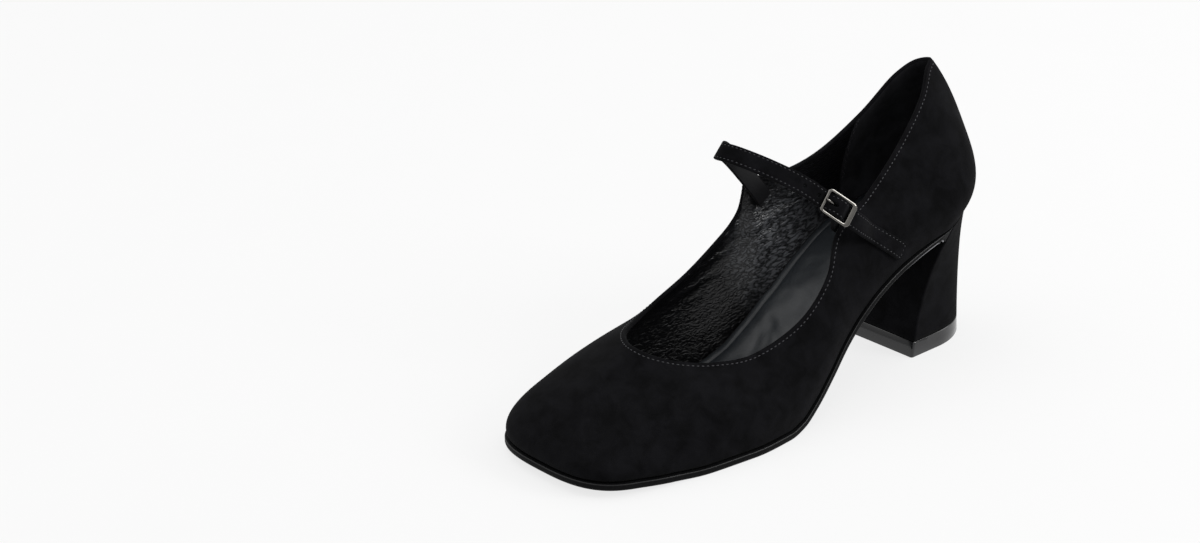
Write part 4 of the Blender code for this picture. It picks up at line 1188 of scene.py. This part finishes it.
def makeTab():
    size, look = buckleSize, buckleLook
    thickness, half, steps = 2 * size["tabThickness"], size["tabWidth"] / 2, look["tabSteps"]
    held = [wallAt(*row, -(wall["thickness"] + size["tabRoom"] + thickness / 2)) for row in tabRoute]
    edge = held[-1][0]
    above = edge + unit(edge - held[-2][0]) * size["tabRise"]
    nodes = [place for place, _ in held] + [above, bucklePoint(0.0, 0.0, barLevel)]
    path = curveThrough(nodes, np.arange(len(nodes)), [steps] * len(nodes), False)
    way = unit(np.gradient(path, axis=0))
    wallSide = unit(np.cross(way[0], held[0][1]))
    if np.dot(wallSide, axes[3]) < 0:
        wallSide = -wallSide
    # turned from the wall to the buckle over the last span
    share = smooth((np.arange(len(path)) - 3 * steps) / steps)[:, None]
    side = unit(wallSide * (1 - share) + axes[3] * share)
    side = unit(side - way * (side * way).sum(1, keepdims=True))
    side[-1] = axes[3]
    quarter = cornerPoints(half, thickness / 2, look["tabCorner"], look["tabCornerPoints"])
    section = quarter + [(-a, b) for a, b in quarter[::-1]]
    section += [(-a, -b) for a, b in quarter] + [(a, -b) for a, b in quarter[::-1]]
    section = np.array(section)
    rings = placedRings(path, side, np.cross(side, way), section[None, :, 0], section[None, :, 1])
    made = sweptMesh("tab_suede", rings, [suede], sharp=60)

    def roundBar(name, radius, halfLength):
        centres = [bucklePoint(0.0, a, barLevel) for a in (-halfLength, 0.0, halfLength)]
        return ellipseBar(name, centres, axes[1:3], (radius, radius), look["loopSides"], suede)

    loop = roundBar("loop", loopRadius, half)
    hole = roundBar("hole", size["centreBar"] / 2 + size["clearance"] * 0.5, 2 * half)
    reach, wide = loopRadius + look["slotReach"], size["tabSlot"] / 2
    corners = ((-reach, -wide), (reach, -wide), (reach, wide), (-reach, wide))
    slotRings = [[bucklePoint(a, b, barLevel + n) for a, b in corners] for n in (-reach, reach)]
    combine(made, [loop], [hole, sweptMesh("slot", slotRings, [suede])])
    finishPiece(made, "black_suede", "buckle_tab")


makeBuckle()
makeProng()
makeTab()
print("buckle made")

# Heel and lift
heelLook = {
    "steps": 44,
    "corner": 0.0012,
    "cornerSteps": 5,
    "breastSteps": 14,
    "levels": 40,
    "edge": 0.0004,
    "liftEdge": 0.0005,
}


def breastSweep(share):
    return readTable(share, breastRows[:, 0], breastRows[:, 1])


def waistInset(share):
    # parabola, most at half height
    return heel["waist"] * 4 * share * (1 - share)


def breastPoint(up, clearance):
    share = up / float(soleTop(heel["topLength"]))
    base = heel["baseBack"] + heel["baseLength"]
    return (base + (heel["topLength"] - base) * float(breastSweep(share)) + clearance, up)


def breastEdges(up):
    outer, inner = edgesAt(heel["topLength"], heel["inset"])
    share = up / float(soleTop(heel["topLength"]))
    half, inset = heel["baseWidth"] / 2, waistInset(share)
    return half + (float(outer) - half) * share - inset, -half + (float(inner) + half) * share + inset


def resample(points, count):
    # the same number of points on every slice, by length walked
    walk = walkAlong(points)
    return sampled(np.linspace(0, walk[-1], count), walk, points)


def heelLoop(shareAt, shrink=0.0):
    # outline of one slice, from the back up the outer side, across the breast and back; corners rounded
    steps = heelLook["steps"]
    walk = 1 - np.cos(np.pi / 2 * np.arange(steps + 1) / steps)
    baseAlong = heel["baseBack"] + heel["baseLength"] * walk
    back = np.clip(1 - heel["baseLength"] * walk / heel["baseRound"], 0, 1)
    half = heel["baseWidth"] / 2 * (1 - back ** heel["baseRoundness"]) ** (1 / heel["baseRoundness"])
    topAlong = heel["inset"] + (heel["topLength"] - heel["inset"]) * walk
    topOuter, topInner = edgesAt(topAlong, heel["inset"])
    seat = soleTop(topAlong)
    share = shareAt(seat)
    inset = waistInset(share) * half / half[-1]
    outer = half + (topOuter - half) * share - inset
    inner = -half + (topInner + half) * share + inset
    swept = share + (breastSweep(share) - share) * walk
    along = baseAlong + (topAlong - baseAlong) * swept
    outerSide = np.stack([outer, along, seat * share], 1)
    innerSide = np.stack([inner, along, seat * share], 1)[::-1]
    corner = heelLook["corner"]
    first, second = outerSide[-1], innerSide[0]
    across = unit(second - first)
    # directions back along the sides are read three points from the corners, and points closer to a
    # corner than its rounding give way to it
    backOuter, backInner = unit(outerSide[-4] - first), unit(innerSide[3] - second)
    firstSide, secondSide = (
        resample(side[np.linalg.norm(side - end, axis=1) > corner * 1.05], steps)
        for side, end in ((outerSide, first), (innerSide, second))
    )
    t = np.linspace(0, 1, heelLook["cornerSteps"] + 2)[:, None]
    run = np.linspace(0, 1, heelLook["breastSteps"] + 2)[1:-1, None]
    start, end = first + across * corner, second - across * corner
    loop = np.concatenate(
        [
            firstSide,
            arc(first + backOuter * corner, first, start, t),
            start + (end - start) * run,
            arc(end, second, second + backInner * corner, t),
            secondSide[:-1],
        ]
    )
    if shrink:
        loop = loop + unit((loop.mean(0) - loop) * np.array([1.0, 1.0, 0.0])) * shrink
    return loop


def makeHeel():
    edge, top = heelLook["edge"], heel["lift"]
    bottom = top + gap
    loops = [heelLoop(lambda seat: bottom / seat, edge)]
    for k in np.linspace(0, 1, heelLook["levels"]):
        loops.append(heelLoop(lambda seat, k=k: (bottom + edge + (seat - bottom - edge) * k) / seat))
    made = sweptMesh("heel_suede", np.array(loops), [suede])
    finishPiece(made, "black_suede", "heel_block")
    edge = heelLook["liftEdge"]
    rows = [(0.0, edge), (edge * 0.3, edge * 0.3), (edge, 0.0)]
    rows += [(top * 0.5, 0.0), (top - edge * 0.5, 0.0), (top, edge * 0.5)]
    loops = [heelLoop(lambda seat, level=level: level / seat, shrink) for level, shrink in rows]
    made = sweptMesh("lift_rubber", np.array(loops), [liftRubber], sharp=40)
    finishPiece(made, "black_lift_rubber", "top_lift")


makeHeel()
print("heel made")

# Sole: a section has 16 points, from the outer top corner down and back up the inner side. Of the three
# cells of each rounded corner, the two next to the side are cut edge below and waxed above
soleLook = {
    "stations": 200,
    "topRound": 0.0004,
    "bottomRound": 0.0008,
    "deepest": 0.45,
    "curlSteps": 18,
    "easeRows": 12,
    "handle": (0.0004, -0.0002),
    "turns": (90, 60, 30, 0),
    "cutCells": (4, 5, 9, 10),
    "waxedCells": (1, 2, 12, 13),
}


def soleStations():
    # upper and lower line of the sole with its edges, from the toe back to the end of the curl
    seatEnd = heel["topLength"] + gap
    bend = seatEnd + sole["bend"]
    count = soleLook["stations"]
    along = (bend + (last["shoeLength"] - bend) * np.sin(np.pi / 2 * np.arange(count + 1) / count))[::-1]
    upperLine = np.stack([along, soleTop(along)], 1)
    lowerLine = np.stack([along, underside(along)], 1)
    loop, normals, half = footprintLoop(0.0)
    outerWay, innerWay = (
        sampled(along, side[:, 1], normal)
        for side, normal in zip(bothSides(loop, half), bothSides(normals, half))
    )
    # the edges draw in to the upper's over the last rows before the bend
    eased = soleLook["easeRows"]
    ease = np.clip((np.arange(len(along)) - (len(along) - eased)) / eased, 0, 1)
    outer, inner = (
        full + (target - full) * ease
        for full, target in zip(edgesAt(along, 0.0), edgesAt(along, sole["edge"]))
    )
    # curl: a third of its steps up to the seat, the rest down the breast
    corner = float(soleTop(seatEnd))
    start = lowerLine[-1]
    end = np.array(breastPoint(corner - sole["curl"], gap + sole["waistThickness"]))
    handle = np.array([end[0] + soleLook["handle"][0], start[1] + soleLook["handle"][1]])
    tail = soleLook["curlSteps"]
    curl = []
    for k in range(1, tail + 1):
        if k <= tail / 3:
            share = k / (tail / 3)
            overAlong = bend + (seatEnd - bend) * k / (tail / 3)
            over = (overAlong, float(soleTop(overAlong)))
            wide = edgesAt(overAlong, sole["edge"] + (heel["inset"] - sole["edge"]) * share)
        else:
            over = breastPoint(corner - sole["curl"] * (k - tail / 3) / (tail * 2 / 3), gap)
            wide = breastEdges(over[1])
        curl.append((*over, *arc(start, handle, end, k / tail), float(wide[0]), float(wide[1])))
    curl = np.array(curl)
    sides = np.tile([[1.0, 0.0]], (tail, 1))
    return (
        np.concatenate([upperLine, curl[:, :2]]),
        np.concatenate([lowerLine, curl[:, 2:4]]),
        np.concatenate([outer, curl[:, 4]]),
        np.concatenate([inner, curl[:, 5]]),
        np.concatenate([outerWay, sides]),
        np.concatenate([innerWay, -sides]),
    )


def makeSole():
    upperLine, lowerLine, outer, inner, outerWay, innerWay = soleStations()
    thickness = np.linalg.norm(upperLine - lowerLine, axis=1)
    # rounded edge as (inset, depth, whether measured from below)
    turns = np.radians(soleLook["turns"])
    profile = []
    for radius, low in ((soleLook["topRound"], 0), (soleLook["bottomRound"], 1)):
        for t in (turns[::-1] if low else turns):
            profile.append((radius * (1 - math.cos(t)), radius * (1 - math.sin(t)), low))
    rings = []
    for way, edge, order in ((outerWay, outer, 1), (innerWay, inner, -1)):
        side = []
        for inset, depth, low in profile:
            share = np.clip(depth / thickness, 0, soleLook["deepest"])
            share = 1 - share if low else share
            mid = upperLine + (lowerLine - upperLine) * share[:, None]
            side.append(np.stack([edge - way[:, 0] * inset, mid[:, 0] - way[:, 1] * inset, mid[:, 1]], 1))
        rings += side[::order]
    place = np.arange(len(rings))
    cells = np.isin(place, soleLook["cutCells"]) + 2 * np.isin(place, soleLook["waxedCells"])
    which = np.tile(cells, len(upperLine) - 1)
    materials = [soleLeather, cutEdge, waxedEdge]
    made = sweptMesh("sole_leather", np.stack(rings, 1), materials, faceMaterials=which)
    finishPiece(made, "black_sole_leather", "outsole")


makeSole()
print("sole made")

# Sock: rings from the underside round the rim and inwards, over a pressed line to a low crown. Every
# row starts with its distance in from the board's edge; then under rows give the level, rim rows a
# share of the thickness, and crown rows a share of the crown
sockLook = {
    "points": 150,
    "room": 0.0004,
    "under": [(0.004, 0.0), (0.0004, 0.0), (0.0, 0.0004)],
    "rim": [(0.0006, 0.4), (0.0014, 0.85), (0.0022, 1.0)],
    "line": 0.0050,
    "lineWidth": 0.0007,
    "lineDepth": 0.0005,
    "crown": 0.0006,
    "crownRows": [(0.0075, 0.3), (0.0110, 0.7)],
    "shadowRows": 5,
}


def makeSock():
    look, thick = sockLook, sole["insole"]
    line, wide, deep = look["line"], look["lineWidth"], look["lineDepth"]
    rows = look["under"] + [(away, thick * share) for away, share in look["rim"]]
    rows += [(line - wide * 1.5, thick), (line - wide * 0.6, thick - deep * 0.5)]
    rows += [(line, thick - deep), (line + wide * 0.6, thick - deep * 0.5), (line + wide * 1.6, thick)]
    rows += [(away, thick + look["crown"] * share) for away, share in look["crownRows"]]
    loops = []
    for away, level in rows:
        inset = sole["edge"] + wall["thickness"] + look["room"]
        loop, _, half = footprintLoop(inset + away, look["points"])
        up = featherHeight(loop[:, 1]) + (wall["thickness"] + 1.4 * gap + level) * steepness(loop[:, 1])
        loops.append(np.column_stack([loop, up]))
    size = len(loops[0])
    faces = gridFaces(len(loops), size, False)
    # top and underside are ladders across the loop, with a triangle at each end
    k = np.arange(1, half)
    top = (len(loops) - 1) * size
    ladder = np.stack([k[:-1], k[1:], size - k[1:], size - k[:-1]], 1)
    ends = np.array([[0, 1, size - 1], [half - 1, half, half + 1]])
    quads = np.concatenate([faces, ladder[:, ::-1], top + ladder])
    triangles = np.concatenate([ends[:, ::-1], top + ends])
    # painted shadow: dark round the rim, where the gap between wall and sock lies in shade, and dark
    # underneath
    dark = np.r_[np.arange(len(faces)) < look["shadowRows"] * size, np.ones(len(ladder))]
    made = buildMesh("sock_leather_board", np.array(loops), [quads, triangles], [sock, strapEdge], dark, 40)
    finishPiece(made, "grey_sock_leather", "insole")


makeSock()
print("sock made")


def collarStitches():
    # walk down each column from the collar by the same distance
    columns = outerGrid[:, ::-1]
    steps = np.linalg.norm(np.diff(columns, axis=1), axis=2)
    walk = np.concatenate([np.zeros((len(columns), 1)), np.cumsum(steps, 1)], 1)
    drop = stitchLook["collarDrop"]
    k = (walk < drop).sum(1) - 1
    rows = np.arange(len(columns))
    share = ((drop - walk[rows, k]) / (walk[rows, k + 1] - walk[rows, k]))[:, None]
    path = columns[rows, k] * (1 - share) + columns[rows, k + 1] * share
    out = outerNormals[:, ::-1][rows, k]
    stitches("collar_stitches", np.r_[path, path[:1]], np.r_[out, out[:1]], "collar")


def strapStitches():
    # down one edge, across the end of the tail and back up the other edge
    seam = strapSize["width"] / 2 - strapLook["seam"]
    level = strapSize["thickness"] / 2 - strapLook["seamDepth"] * 0.5
    start, end = walked[0] + stitchLook["strapStart"], walked[-1] - stitchLook["strapEnd"]
    place, _, out, side = strapAt(np.linspace(start, end, stitchLook["strapSteps"]))
    edgeOne, edgeTwo = (place + side * seam * sign + out * level for sign in (1, -1))
    acrossEnd = np.linspace(1, -1, stitchLook["turnSteps"])[1:-1, None] * seam
    turn = place[-1] + side[-1] * acrossEnd + out[-1] * level
    path = np.concatenate([edgeOne, turn, edgeTwo[::-1]])
    outs = np.concatenate([out, np.tile(out[-1], (len(turn), 1)), out[::-1]])
    stitches("strap_stitches", path, outs, "strap")


collarStitches()
strapStitches()
print("stitches made")

# Floor and light: a white acrylic table lit from below, which leaves only faint shadows. Half size in
# metres, clouds in millimetres
tableLook = {
    "glow": 0.77,
    "low": "#656565",
    "high": "#676767",
    "clouds": 60.0,
    "roughness": 0.9,
    "shine": 0.1,
    "half": 4.0,
}


def lightTable():
    made, tree, shader, coordinates = startMaterial("lit_acrylic")
    clouds = noise(tree, coordinates, tableLook["clouds"])
    inputs = {
        "Base Color": mixColours(tree, clouds, tableLook["low"], tableLook["high"]),
        "Roughness": tableLook["roughness"],
        "Specular IOR Level": tableLook["shine"],
        "Emission Color": (1.0, 1.0, 1.0, 1.0),
        "Emission Strength": tableLook["glow"],
    }
    fill(tree, shader, inputs)
    return made


def makeStage():
    half = tableLook["half"]
    mesh = bpy.data.meshes.new("floor")
    corners = [(-half, -half, 0), (half, -half, 0), (half, half, 0), (-half, half, 0)]
    mesh.from_pydata(corners, [], [(0, 1, 2, 3)])
    mesh.materials.append(lightTable())
    floor = bpy.data.objects.new("floor", mesh)
    bpy.context.scene.collection.objects.link(floor)


# World strength from the horizon down and straight up; each lamp's power in watts, size and place in
# metres
lightLook = {
    "world": (0.45, 1.25),
    "key": (6.0, 1.4, (-0.7, -0.5, 1.5)),
    "side": (11.0, 0.6, (1.1, 0.8, 0.75)),
    "back": (4.0, 0.8, (0.2, 1.2, 1.0)),
}


def makeLights():
    world = bpy.data.worlds.new("studio")
    world.use_nodes = True
    tree = world.node_tree
    direction = addNode(tree, "TexCoord").outputs["Generated"]
    height = addNode(tree, "SeparateXYZ", {"Vector": direction}).outputs["Z"]
    low, high = lightLook["world"]
    strength = addNode(tree, "MapRange", {"Value": height, "To Min": low, "To Max": high}).outputs["Result"]
    fill(tree, tree.nodes["Background"], {"Strength": strength, "Color": (1.0, 1.0, 1.0, 1.0)})
    bpy.context.scene.world = world
    for name in ("key", "side", "back"):
        power, size, place = lightLook[name]
        data = bpy.data.lights.new(name, "AREA")
        data.energy = power
        data.size = size
        lamp = bpy.data.objects.new(name, data)
        lamp.location = place
        # turned to face the origin
        x, y, z = place
        lamp.rotation_euler = (math.atan2(math.hypot(x, y), z), 0.0, math.atan2(-y, -x) - math.pi / 2)
        bpy.context.scene.collection.objects.link(lamp)


makeStage()
makeLights()
bpy.context.scene.view_settings.view_transform = "Standard"
